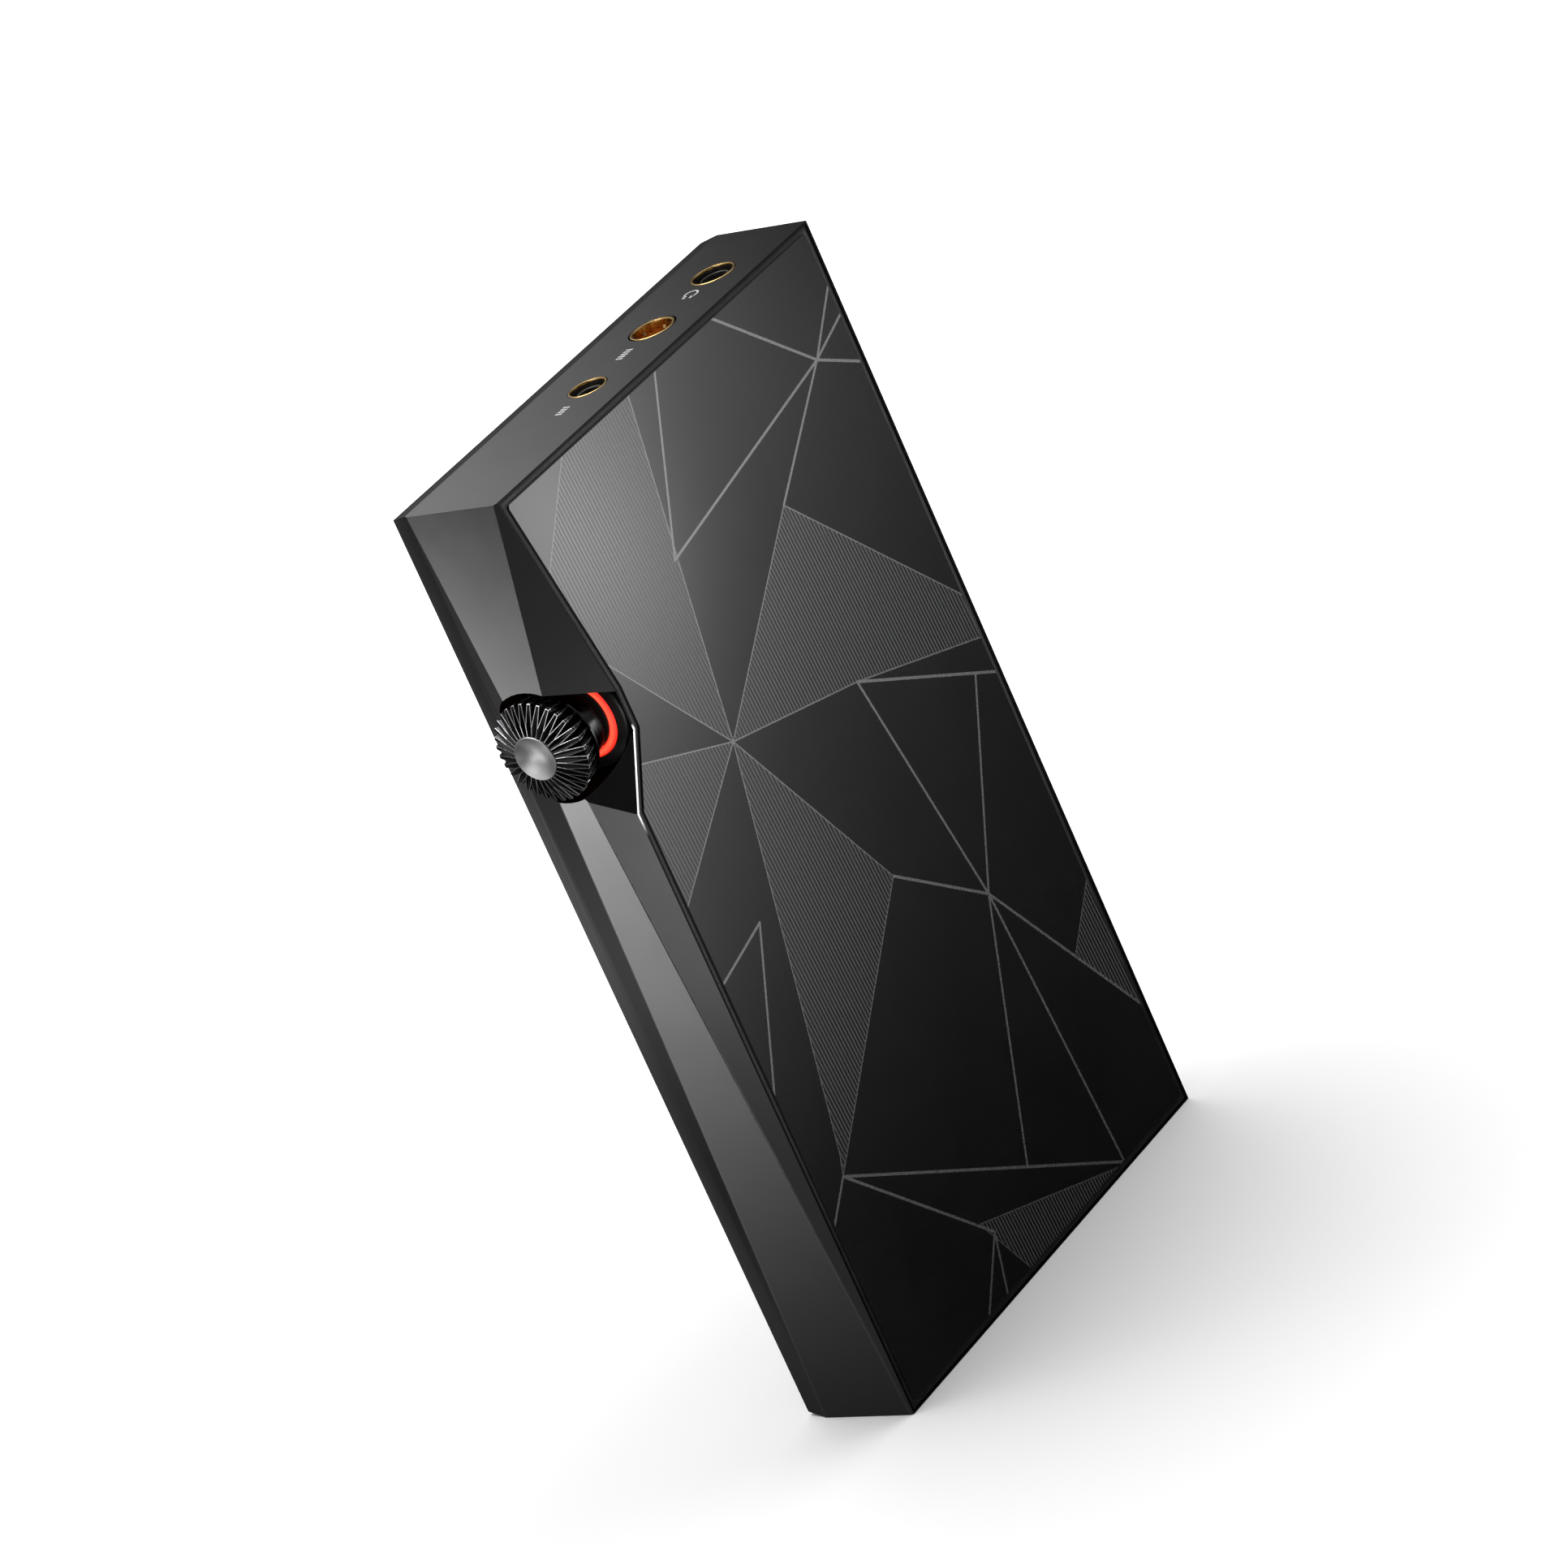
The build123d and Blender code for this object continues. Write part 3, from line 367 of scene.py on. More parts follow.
def emissive_ring():
    m = Mat("light_ring_glow", Roughness=0.4)
    n = m.noise(420.0, 3.0, 0.5)
    x, y, z = m.xyz()
    rr = m.math("SQRT", m.math("ADD", m.math("POWER", m.math("SUBTRACT", y, 0.0015), 2.0),
                               m.math("POWER", m.math("SUBTRACT", z, 0.10554), 2.0)))
    core = m.ramp(m.math("ABSOLUTE", m.math("SUBTRACT", rr, 0.00535)), 0.0, 0.00062, 1.0, 0.0)
    c = m.mix(m.math("MULTIPLY", core, m.ramp(n, 0.2, 0.8, 0.75, 1.0)), (0.95, 0.022, 0.012), (1.0, 0.115, 0.055))
    m.color((0.5, 0.02, 0.012))
    m.put(c, m.b.inputs["Emission Color"])
    m.b.inputs["Emission Strength"].default_value = 1.35
    m.rough(m.ramp(n, 0.3, 0.7, 0.3, 0.5))
    m.bump(n, 0.1, 0.00003)
    return m.m


def dark_chrome():
    m = Mat("wheel_dark_chrome", Metallic=1.0)
    fine = m.noise(5200.0, 4.0, 0.6)
    tone = m.noise(420.0, 3.0, 0.5)
    worn = m.math("MULTIPLY", m.attr("edge"), m.ramp(m.noise(1500.0, 3.0, 0.6), 0.25, 0.6, 0.6, 1.0))
    c = m.mix(m.ramp(tone, 0.3, 0.7), (0.030, 0.030, 0.032), (0.048, 0.048, 0.050))
    m.color(m.mix(worn, c, (0.95, 0.95, 0.96)))
    m.rough(m.math("ADD", m.ramp(fine, 0.3, 0.7, 0.10, 0.19), m.math("MULTIPLY", worn, 0.10)))
    m.bump(fine, 0.05, 0.00001)
    return m.m


def satin_dish():
    m = Mat("wheel_satin_dish", Metallic=1.0)
    x, y, z = m.xyz()
    dy = m.math("SUBTRACT", y, 0.0015)
    dz = m.math("SUBTRACT", z, 0.10554)
    rr = m.math("SQRT", m.math("ADD", m.math("MULTIPLY", dy, dy), m.math("MULTIPLY", dz, dz)))
    n = m.t.nodes.new("ShaderNodeTexNoise")
    n.noise_dimensions = "1D"
    n.inputs["Scale"].default_value = 52000.0
    n.inputs["Detail"].default_value = 2.0
    m.link(rr, n.inputs["W"])
    fine = m.noise(6000.0, 4.0, 0.6)
    m.color(m.mix(m.ramp(fine, 0.3, 0.7), (0.62, 0.62, 0.625), (0.72, 0.72, 0.725)))
    m.rough(m.ramp(m.math("ADD", m.math("MULTIPLY", fine, 0.6), m.math("MULTIPLY", n.outputs["Fac"], 0.4)),
                   0.3, 0.7, 0.30, 0.42))
    m.bump(n.outputs["Fac"], 0.10, 0.000012)
    return m.m


def board():
    m = Mat("circuit_board_green", Metallic=0.0)
    v = m.obj(scale=(1, 1, 1))
    cells = m.voronoi(700.0, v, "DISTANCE_TO_EDGE", "Distance")
    track = m.ramp(cells, 0.03, 0.06, 1.0, 0.0)
    dots = m.ramp(m.voronoi(1500.0, v), 0.16, 0.2, 1.0, 0.0)
    c = m.mix(track, (0.006, 0.045, 0.022), (0.012, 0.085, 0.04))
    m.color(m.mix(m.math("MULTIPLY", dots, 0.8), c, (0.55, 0.42, 0.16)))
    m.rough(m.ramp(m.noise(900.0), 0.3, 0.7, 0.25, 0.42))
    m.bump(m.math("ADD", track, dots), 0.3, 0.00004)
    return m.m


def battery():
    m = Mat("battery_pouch_foil", Metallic=0.85)
    crease = m.noise(160.0, 6.0, 0.65, distortion=0.8)
    fine = m.noise(2500.0, 3.0, 0.6)
    m.color(m.mix(m.ramp(crease, 0.3, 0.7), (0.42, 0.43, 0.44), (0.62, 0.63, 0.64)))
    m.rough(m.ramp(fine, 0.3, 0.7, 0.28, 0.42))
    m.bump(crease, 0.35, 0.0003)
    return m.m


def back_rim():
    """The narrow flat rim round the back: black chrome, with a painted highlight below the wheel."""
    m = Mat("rim_black_chrome", Metallic=1.0)
    x, y, z = m.xyz()
    fine = m.noise(4200.0, 5.0, 0.6)
    # Painted highlight: a near-white, glossier patch on the rim below the wheel, placed by height and side.
    painted_highlight = m.math("MULTIPLY", m.ramp(z, 0.0900, 0.0940), m.ramp(z, 0.1028, 0.1036, 1.0, 0.0))
    painted_highlight = m.math("MULTIPLY", painted_highlight, m.ramp(x, 0.0300, 0.0312))
    dark = m.mix(m.ramp(fine, 0.3, 0.7), grey(0.008), grey(0.014))
    m.color(m.mix(painted_highlight, dark, (0.97, 0.97, 0.97)))
    m.rough(m.mix(painted_highlight, grey(0.32), grey(0.16)))
    m.bump(fine, 0.08, 0.00004)
    return m.m


STEEL = steel()
RIM_BLACK = back_rim()
# Painted shade: a near-black, almost unreflective colour for the steel body's wheel well, which darkens the recess
# and hides the light ring's red reflection.
WELL_SHADE = surface("wheel_well_wall_painted_shade", grey(0.0016), grey(0.0026), (0.75, 0.85), 0.0, 300, 3600, 0.15,
                    Specular_IOR_Level=0.03)
BACK_PLAIN = back_plain()
BACK_HATCH = hatch()
BACK_LINE = etched("back_glass_engraved_line", 0.060, 0.072)
BACK_BORDER = etched("back_glass_engraved_border", 0.040, 0.048)
FRONT = front_glass()
GASKET = surface("gasket_black_rubber", grey(0.006), grey(0.011), (0.35, 0.5), 0.0, 400, 3000, 0.25)
RING_DARK = surface("socket_throat_black", grey(0.007), grey(0.013), (0.25, 0.4), 0.0, 400, 3400, 0.2)
GOLD = surface("gold_plated_ring", (0.72, 0.47, 0.17), (0.84, 0.58, 0.25), (0.14, 0.24), 1.0, 500, 4200,
               0.06, edge=(1.0, 0.86, 0.56))
AMBER = surface("amber_socket_insulator", (0.28, 0.085, 0.008), (0.52, 0.19, 0.025), (0.18, 0.32), 0.0,
                600, 3600, 0.12, Specular_IOR_Level=0.6)
BARREL = surface("socket_barrel_steel", (0.46, 0.36, 0.34), (0.60, 0.50, 0.48), (0.20, 0.32), 1.0, 600,
                 4200, 0.06, edge=(0.95, 0.88, 0.86))
SOCKET = surface("socket_black_plastic", grey(0.008), grey(0.016), (0.3, 0.45), 0.0, 400, 3400, 0.25)
LIGHT = emissive_ring()
CHROME = dark_chrome()
DISH = satin_dish()
COLLAR = surface("wheel_collar_black_chrome", grey(0.05), grey(0.085), (0.16, 0.28), 1.0, 400, 4200, 0.06,
                 stretch=(4, 1, 1), edge=grey(0.5))
WELL = surface("wheel_well_black_plate", grey(0.010), grey(0.018), (0.28, 0.42), 0.0, 300, 3600, 0.22)
BUSH = surface("bushing_black_acetal", grey(0.012), grey(0.020), (0.35, 0.5), 0.0, 300, 3600, 0.22)
SHAFT = surface("shaft_turned_steel", grey(0.40), grey(0.52), (0.2, 0.32), 1.0, 500, 4600, 0.12,
                stretch=(14, 1, 1))
BUTTON = surface("button_dark_steel", grey(0.24), grey(0.31), (0.14, 0.24), 1.0, 90, 4600, 0.06,
                 stretch=(1, 1, 0.15), edge=grey(0.6))
PORT = surface("port_shell_steel", grey(0.34), grey(0.48), (0.22, 0.36), 1.0, 400, 4200, 0.12,
               stretch=(1, 1, 0.2), edge=grey(0.7))
BOARD = board()
CHIP = surface("chip_moulded_epoxy", grey(0.012), grey(0.020), (0.45, 0.6), 0.0, 500, 5200, 0.35)
CAN = surface("tinned_shield_can", grey(0.50), grey(0.66), (0.24, 0.4), 1.0, 220, 3600, 0.18,
              stretch=(0.2, 1, 1))
COPPER = surface("copper_spreader", (0.72, 0.28, 0.15), (0.90, 0.42, 0.26), (0.28, 0.42), 1.0, 160,
                 3200, 0.18, stretch=(1, 1, 0.2))
FLEX = surface("ribbon_polyimide", (0.50, 0.20, 0.02), (0.66, 0.30, 0.045), (0.3, 0.45), 0.0, 300,
               3000, 0.15, stretch=(8, 1, 1))
FOIL = battery()
FOAM = surface("foam_pad_grey", grey(0.13), grey(0.22), (0.75, 0.92), 0.0, 900, 2600, 0.7)
WIRE = surface("lead_insulation_red", (0.42, 0.018, 0.014), (0.56, 0.03, 0.022), (0.35, 0.5), 0.0, 400,
               3000, 0.2)
PAD = surface("thermal_pad_blue", (0.12, 0.27, 0.45), (0.19, 0.36, 0.56), (0.6, 0.8), 0.0, 500, 2600, 0.5)
ENCODER = surface("encoder_moulded_grey", grey(0.09), grey(0.14), (0.4, 0.55), 0.0, 400, 3200, 0.3)
SWITCH = surface("switch_stamped_metal", grey(0.46), grey(0.62), (0.25, 0.4), 1.0, 400, 3600, 0.15)
BRACKET = surface("bracket_stamped_steel", grey(0.40), grey(0.54), (0.28, 0.42), 1.0, 240, 3400, 0.16,
                  stretch=(1, 1, 0.2))
PANEL = surface("display_panel_back", grey(0.02), grey(0.035), (0.3, 0.45), 0.3, 200, 2800, 0.15)
SCREW = surface("screw_black_oxide", grey(0.07), grey(0.12), (0.3, 0.45), 1.0, 700, 4200, 0.2)
MARK = surface("printed_mark_grey", grey(0.42), grey(0.55), (0.45, 0.6), 0.0, 900, 4600, 0.3)

# ================================================================ unibody frame
HALF_W, HALF_D, TOP = 38.15, 9.15, 139.34
WY, WZ, WR = 1.5, 105.54, 8.2


def body_edges(bm):
    """The outer edges of the steel body, sorted by how far they are rounded."""
    broad, fine = [], []
    for e in bm.edges:
        if len(e.link_faces) != 2 or not convex(e):
            continue
        a, m = angle(e), mid(e)
        d = (e.verts[1].co - e.verts[0].co)
        on_top = all(abs(v.co.z - TOP) < 0.01 for v in e.verts)
        on_bottom = all(abs(v.co.z) < 0.01 for v in e.verts)
        on_left = all(abs(v.co.x + HALF_W) < 0.01 for v in e.verts)
        on_back = all(abs(v.co.y - HALF_D) < 0.01 for v in e.verts)
        on_front = all(v.co.y < -6.41 for v in e.verts)
        flank = m.x > 37.0
        in_well = m.x > 32.4 and math.hypot(m.y - WY, m.z - WZ) < 8.9 or \
            (m.x > 32.4 and m.y > 4.7 and 97 < m.z < 114.6)
        along_x = abs(d.x) > 0.98 * d.length
        if along_x and a < 25 and in_well:
            continue
        if not (on_top or on_bottom or on_left or on_back or on_front or flank or in_well):
            continue
        if a < 3.0:
            continue
        if on_front and m.y < -8.0 and abs(m.x) < 36.9 and 1.3 < m.z < 138.1:
            fine.append(e)          # edge of the glass recess
            continue
        if on_back:
            fine.append(e)
            continue
        small_hole = (on_top or on_bottom or on_left) and d.length < 1.6
        (fine if small_hole else broad).append(e)
    return broad, fine


bm = cad_bmesh("unibody_frame")
broad, fine = body_edges(bm)
print("SCENE unibody edges", len(broad), len(fine), "faces", len(bm.faces))
keep = [tuple(sorted((tuple(round(c, 4) for c in e.verts[0].co), tuple(round(c, 4) for c in e.verts[1].co))))
        for e in fine]
seams = [e for e in broad if min(v.co.x for v in e.verts) > 36.4 and abs(e.verts[0].co.z - e.verts[1].co.z) > 4
         and max(v.co.z for v in e.verts) < 112 and not all(abs(v.co.y - HALF_D) < 0.01 for v in e.verts)]
bevel_edges(bm, seams, 0.20, 3, clamp=False)
layer = bm.faces.layers.float.get("edge")
broad, fine = body_edges(bm)
rest = [e for e in broad + fine if not any(f[layer] > 0.5 for f in e.link_faces)]
bevel_edges(bm, rest, 0.13, 2)
# Back faces of the rim get the black chrome; the wheel well's wall and floor get the painted shade colour.
for f in bm.faces:
    c = f.calc_center_median()
    if f.normal.y > 0.9 and c.y > 7.9 or (f.normal.y > 0.3 and c.y > 9.0 and not (c.x > 31 and 92 < c.z < 109)):
        f.material_index = 1
    elif c.x > 32.3 and math.hypot(c.y - WY, c.z - WZ) < 8.5 and \
            (f.normal.x > 0.97 or f.normal.dot(Vector((0, WY - c.y, WZ - c.z)).normalized()) > 0.9):
        f.material_index = 2
body = finish_mesh(bm, "body_shell", [STEEL, RIM_BLACK, WELL_SHADE], "player", ["unibody_frame"],
                   smooth=38, weighted=True)

# =================================================================== back plate
OUTLINE = [(-38.15, 0), (38.15, 0), (38.3, 93.5), (32.5, 102.8), (32.5, 108.4), (37.97, TOP),
           (-38.15, TOP)]


def inset(points, d, radius, steps=6):
    """The outline moved in by d, with its corners rounded. Runs anticlockwise."""
    n = len(points)
    moved = []
    for i in range(n):
        p, q, r = (Vector(points[(i + k) % n]) for k in (-1, 0, 1))
        a, b = (q - p).normalized(), (r - q).normalized()
        na, nb = Vector((-a.y, a.x)), Vector((-b.y, b.x))
        k = (na + nb) / (1 + na.dot(nb))
        moved.append(q + k * d)
    out = []
    for i in range(n):
        p, q, r = moved[i - 1], moved[i], moved[(i + 1) % n]
        a, b = (p - q).normalized(), (r - q).normalized()
        half = a.angle(b) / 2
        t = radius / math.tan(half)
        c = q + (a + b).normalized() * (radius / math.sin(half))
        s, e = q + a * t - c, q + b * t - c
        turn = s.angle_signed(e)
        for j in range(steps + 1):
            w = -turn * j / steps
            cw, sw = math.cos(w), math.sin(w)
            out.append(c + Vector((s.x * cw - s.y * sw, s.x * sw + s.y * cw)))
    return out


STAR = (16.4, 91.2)
A, B, C, D, E, F = (-10.0, 141), (-28.9, 123.2), (-39.5, 117.1), (-39.5, 132.3), (-11.2, 111.0), (-39.5, 126.6)
G, H, I, J, K, L = (12.3, 116.2), (-0.4, 141), (-10.3, 84.4), (-39.5, 68.8), (-17.2, 46.8), (-20.6, 0.0)
M, N, O, P, Q, R = (-32.9, 72.4), (-2.0, 12.6), (-1.2, 59.6), (-39.5, 12.5), (31.6, 33.4), (-22.3, 0.0)
S, S3, U2, U3 = (9.3, 9.6), (39.5, 27.2), (19.1, -1.0), (12.7, -1.0)
W, W2, W3 = (26.0, 69.4), (39.5, 66.3), (39.5, 45.2)
STROKES = [(A, B), (B, C), (D, B), (B, E), (F, B), (B, G), (H, G), (I, J), (I, K), (K, L), (M, K),
           (K, N), (O, K), (K, P), (Q, R), (Q, S), (Q, S3), (S, U2), (S, U3), (W, W2), (W, W3)]
HATCHED = [
    [(20.6, 141), (7.0, 141), STAR, (33.6, 114.4), (39.0, 126.0), (39.0, 141)],
    [(36.4, 99.4), STAR, (39.5, 77.2), (41.0, 93.0)],
    [STAR, O, Q, (30.4, 36.2)],
    [E, (-39.5, 79.4), (-39.5, 74.8), I, STAR],
    [(-39.5, 39.0), (-28.3, 29.7), (-39.5, 12.5)],
    [R, (11.4, 12.2), (4.4, -1.0)],
]
HATCHED[0] = [(20.6, 141), (7.0, 141), STAR, (33.6, 114.4), (34.6, 127.0)]


def strip(a, b, w):
    a, b = Vector(a), Vector(b)
    d = (b - a).normalized()
    n = Vector((-d.y, d.x)) * (w / 2)
    a, b = a - d * w * 0.3, b + d * w * 0.3
    return [a - n, b - n, b + n, a + n]


def ccw(poly):
    area = sum(poly[i][0] * poly[(i + 1) % len(poly)][1] - poly[(i + 1) % len(poly)][0] * poly[i][1]
               for i in range(len(poly)))
    return list(poly) if area > 0 else list(reversed(poly))


PLATE_IN, CHAMFER, BACK_T = 1.2, 0.14, 0.85
outer = inset(OUTLINE, PLATE_IN, 0.62)
inner = inset(OUTLINE, PLATE_IN + CHAMFER, 0.48)
shapes, kinds = [inner], ["plate"]
for poly in HATCHED:
    shapes.append([Vector(p) for p in ccw(poly)])
    kinds.append("hatch")
for poly in HATCHED:
    for i in range(len(poly)):
        shapes.append(strip(poly[i], poly[(i + 1) % len(poly)], 0.2))
        kinds.append("border")
for a, b in STROKES:
    shapes.append(strip(a, b, 0.4))
    kinds.append("line")
points, faces2d = [], []
for s in shapes:
    faces2d.append(list(range(len(points), len(points) + len(s))))
    points.extend(Vector((p[0], p[1])) for p in s)
cv, ce, cf, ov, oe, of_ = delaunay_2d_cdt(points, [], faces2d, 1, 1e-5, True)
bm = bmesh.new()
top = [bm.verts.new((p.x, HALF_D, p.y)) for p in cv]
for tri, origin in zip(cf, of_):
    if 0 not in origin:
        continue
    found = {kinds[i] for i in origin}
    f = bm.faces.new([top[i] for i in reversed(tri)])
    f.material_index = 2 if "line" in found else 3 if "border" in found else 1 if "hatch" in found else 0
bmesh.ops.delete(bm, geom=[v for v in bm.verts if not v.link_faces], context="VERTS")
bm.normal_update()
if sum(f.normal.y * f.calc_area() for f in bm.faces) < 0:
    bmesh.ops.reverse_faces(bm, faces=bm.faces)
rim_edges = [e for e in bm.edges if len(e.link_faces) == 1]
loop_verts = {v for e in rim_edges for v in e.verts}


def pushed(v):
    """Where a point of the face's edge lies on the plate's full outline."""
    p = Vector((v.co.x, v.co.z))
    best = None
    for i in range(len(inner)):
        a, b = inner[i], inner[(i + 1) % len(inner)]
        d = b - a
        if d.length_squared < 1e-12:
            continue
        t = max(0.0, min(1.0, (p - a).dot(d) / d.length_squared))
        gap = (a + d * t - p).length
        if best is None or gap < best[0] - 1e-7:
            best = (gap, i, t)
    i, t = best[1], best[2]
    q = outer[i].lerp(outer[(i + 1) % len(outer)], t)
    return q


edge_layer = bm.faces.layers.float.new("edge")
low, base = {}, {}
for v in loop_verts:
    q = pushed(v)
    low[v] = bm.verts.new((q.x, HALF_D - CHAMFER, q.y))
    base[v] = bm.verts.new((q.x, HALF_D - BACK_T, q.y))
for e in rim_edges:
    loop = e.link_loops[0]
    a, b = loop.vert, loop.link_loop_next.vert
    f = bm.faces.new((b, a, low[a], low[b]))
    f[edge_layer] = 1.0
    bm.faces.new((low[b], low[a], base[a], base[b]))
bottom_edges = [bm.edges.get((base[e.verts[0]], base[e.verts[1]])) for e in rim_edges]
bmesh.ops.holes_fill(bm, edges=bottom_edges, sides=0)
bmesh.ops.recalc_face_normals(bm, faces=bm.faces)
print("SCENE plate faces", len(bm.faces))
finish_mesh(bm, "back_glass_plate", [BACK_PLAIN, BACK_HATCH, BACK_LINE, BACK_BORDER], "player",
            ["back_plate"], smooth=20)

# ========================================================== gasket, front glass
bm = cad_bmesh("back_plate_gasket")
bevel_edges(bm, [e for e in bm.edges if convex(e) and angle(e) > 30 and abs(mid(e).y - 8.95) < 0.01],
            0.05, 2)
finish_mesh(bm, "back_gasket", [GASKET], "player", ["back_plate_gasket"], smooth=35)

bm = cad_bmesh("front_glass")
bevel_edges(bm, [e for e in bm.edges if convex(e) and 25 < angle(e) < 60 and mid(e).y < -8.9], 0.05, 2)
finish_mesh(bm, "display_glass", [FRONT], "player", ["front_glass"], smooth=24,
            weighted=True)

# ======================================================================= wheel
AX = (0.0, WY, WZ)
TEETH = 32


def knob():
    bm = bmesh.new()
    layer = bm.faces.layers.float.new("edge")

    def at(deg, r, x):
        a = math.radians(deg)
        return bm.verts.new((x, WY + r * math.cos(a), WZ + r * math.sin(a)))

    step = 360 / TEETH
    v = []
    for k in range(TEETH):
        t, m = k * step, (k + 0.5) * step
        v.append({
            "l1": at(t - 1.9, 7.24, 41.62), "l2": at(t + 1.9, 7.24, 41.62),
            "l3": at(t + 1.9, 7.20, 41.05), "l4": at(t - 1.9, 7.20, 41.05),
            "tip": at(t, 6.42, 38.78), "m": at(t, 4.75, 42.28),
            "k": at(m, 4.55, 42.80), "b": at(m, 6.62, 41.22), "v": at(m, 6.02, 38.78),
            "d": at(t, 3.34, 42.86), "e": at(m, 3.28, 43.14),
            "d0": at(t, 3.22, 42.98), "e0": at(m, 3.22, 43.10),
            "s0": at(t, 3.22, 42.2), "s1": at(m, 3.22, 42.2),
            "c0": at(t, 6.0, 38.62), "c1": at(m, 6.0, 38.62),
            "p0": at(t, 6.64, 38.50), "p1": at(m, 6.64, 38.50),
            "q0": at(t, 6.64, 38.26), "q1": at(m, 6.64, 38.26),
            "r0": at(t, 6.56, 38.20), "r1": at(m, 6.56, 38.20),
            "g0": at(t, 5.0, 38.20), "g1": at(m, 5.0, 38.20),
            "h0": at(t, 5.0, 34.52), "h1": at(m, 5.0, 34.52),
            "i0": at(t, 4.88, 34.40), "i1": at(m, 4.88, 34.40),
            "j0": at(t, 2.02, 34.40), "j1": at(m, 2.02, 34.40),
            "n0": at(t, 2.02, 41.0), "n1": at(m, 2.02, 41.0),
            "o0": at(t, 3.22, 41.0), "o1": at(m, 3.22, 41.0),
        })

    def face(*vs, mat=0):
        f = bm.faces.new(vs)
        f.material_index = mat
        return f

    ridges = []
    for k in range(TEETH):
        a, z = v[k], v[(k + 1) % TEETH]
        p = v[k - 1]
        # flat land at the rim
        face(a["l1"], a["l2"], a["l3"], a["l4"])
        # front: valley between two ridges, and the kite below each land
        face(a["l2"], a["l1"], a["m"])
        face(a["l1"], p["k"], a["m"])
        face(a["m"], a["k"], a["l2"])
        face(p["k"], p["e"], a["d"], a["m"])
        face(a["m"], a["d"], a["e"], a["k"])
        # front: groove that opens at the rim between two lands
        face(a["k"], a["b"], a["l2"])
        face(a["k"], z["l1"], a["b"])
        # flank of the teeth, narrowing to the back
        face(a["l3"], a["tip"], a["l4"])
        face(a["l2"], a["b"], a["l3"])
        face(a["b"], a["v"], a["l3"])
        face(a["l3"], a["v"], a["tip"])
        face(a["b"], z["l1"], z["l4"])
        face(a["b"], z["l4"], a["v"])
        face(a["v"], z["l4"], z["tip"])
        # back disc and collar
        for lo, hi in (("tip", "c"), ):
            face(a["tip"], a["v"], a["c1"], a["c0"])
            face(a["v"], z["tip"], z["c0"], a["c1"])
        for s, t in (("c", "p"), ("p", "q"), ("q", "r"), ("r", "g"), ("g", "h"), ("h", "i"), ("i", "j"),
                     ("j", "n"), ("n", "o"), ("o", "s"), ("s", "d_")):
            mt = 1 if s in "ghijno" and s != "s" else 0
            if t == "d_":
                face(a["s0"], a["s1"], a["e0"], a["d0"], mat=0)
                face(a["s1"], z["s0"], z["d0"], a["e0"], mat=0)
            else:
                face(a[s + "0"], a[s + "1"], a[t + "1"], a[t + "0"], mat=mt)
                face(a[s + "1"], z[s + "0"], z[t + "0"], a[t + "1"], mat=mt)
        face(a["d0"], a["e0"], a["e"], a["d"])
        face(a["e0"], z["d0"], z["d"], a["e"])
        ridges += [(a["k"], a["e"]), (a["k"], a["l2"]), (a["k"], z["l1"]), (a["l1"], a["l2"]),
                   (a["l3"], a["tip"]), (a["l4"], a["tip"]), (a["l3"], a["l4"]), (a["l1"], a["l4"]),
                   (a["l2"], a["l3"])]
    bmesh.ops.recalc_face_normals(bm, faces=bm.faces)
    bm.normal_update()
    chosen = [bm.edges.get(pair) for pair in ridges]
    chosen = [e for e in chosen if e is not None and convex(e) and angle(e) > 3]
    bevel_edges(bm, chosen, 0.075, 2)
    return finish_mesh(bm, "wheel_crown", [CHROME, COLLAR], "wheel", ["wheel_knob"],
                       smooth=14)


knob()

depth, dish_r, dish_x = 0.9, 3.2, 43.25
sphere = ((dish_r - 0.14) ** 2 + depth ** 2) / (2 * depth)
bowl = []
for i in range(25):
    r = (dish_r - 0.14) * i / 24
    bowl.append((r, dish_x - 0.02 - depth + sphere - math.sqrt(sphere ** 2 - r ** 2)))
profile = [(0, 41.25)] + [(3.19, 41.25), (3.19, dish_x - 0.12)] + \
    [(3.19 - 0.06 + 0.06 * math.cos(math.radians(a)), dish_x - 0.12 + 0.12 * math.sin(math.radians(a)))
     for a in (22, 45, 67, 90)] + list(reversed(bowl))
lathe("wheel_dish", profile, DISH, "wheel", ["wheel_cap"], "X", AX, steps=96, closed=True)

# ============================================================ well and light ring
ring = [(4.85, 32.9), (5.95, 32.9), (5.95, 33.04)] + arc(5.40, 32.78, 0.56, 32, 148, 10) + [(4.85, 33.04)]
lathe("light_ring_glow_ring", ring, LIGHT, "player", ["light_ring"], "X", AX, steps=128)
plate = [(6.00, 32.91), (7.49, 32.91), (7.49, 33.0), (7.42, 33.08), (6.08, 33.08), (6.00, 33.0)]
lathe("well_trim_plate", plate, WELL, "player", ["wheel_well_plate"], "X", AX, steps=128)
bush = [(2.06, 29.36), (3.19, 29.36), (3.19, 32.53), (4.79, 32.53), (4.79, 33.02), (4.68, 33.14),
        (2.2, 33.14), (2.06, 33.04)]
lathe("wheel_bushing_flange", bush, BUSH, "player", ["wheel_bushing"], "X", AX, steps=96)
shaft = [(0, 22.2), (1.38, 22.2), (1.5, 22.32), (1.5, 28.86), (1.9, 28.98), (2.0, 29.08), (2.0, 41.1),
         (0, 41.1)]
paint("wheel_shaft", SHAFT)

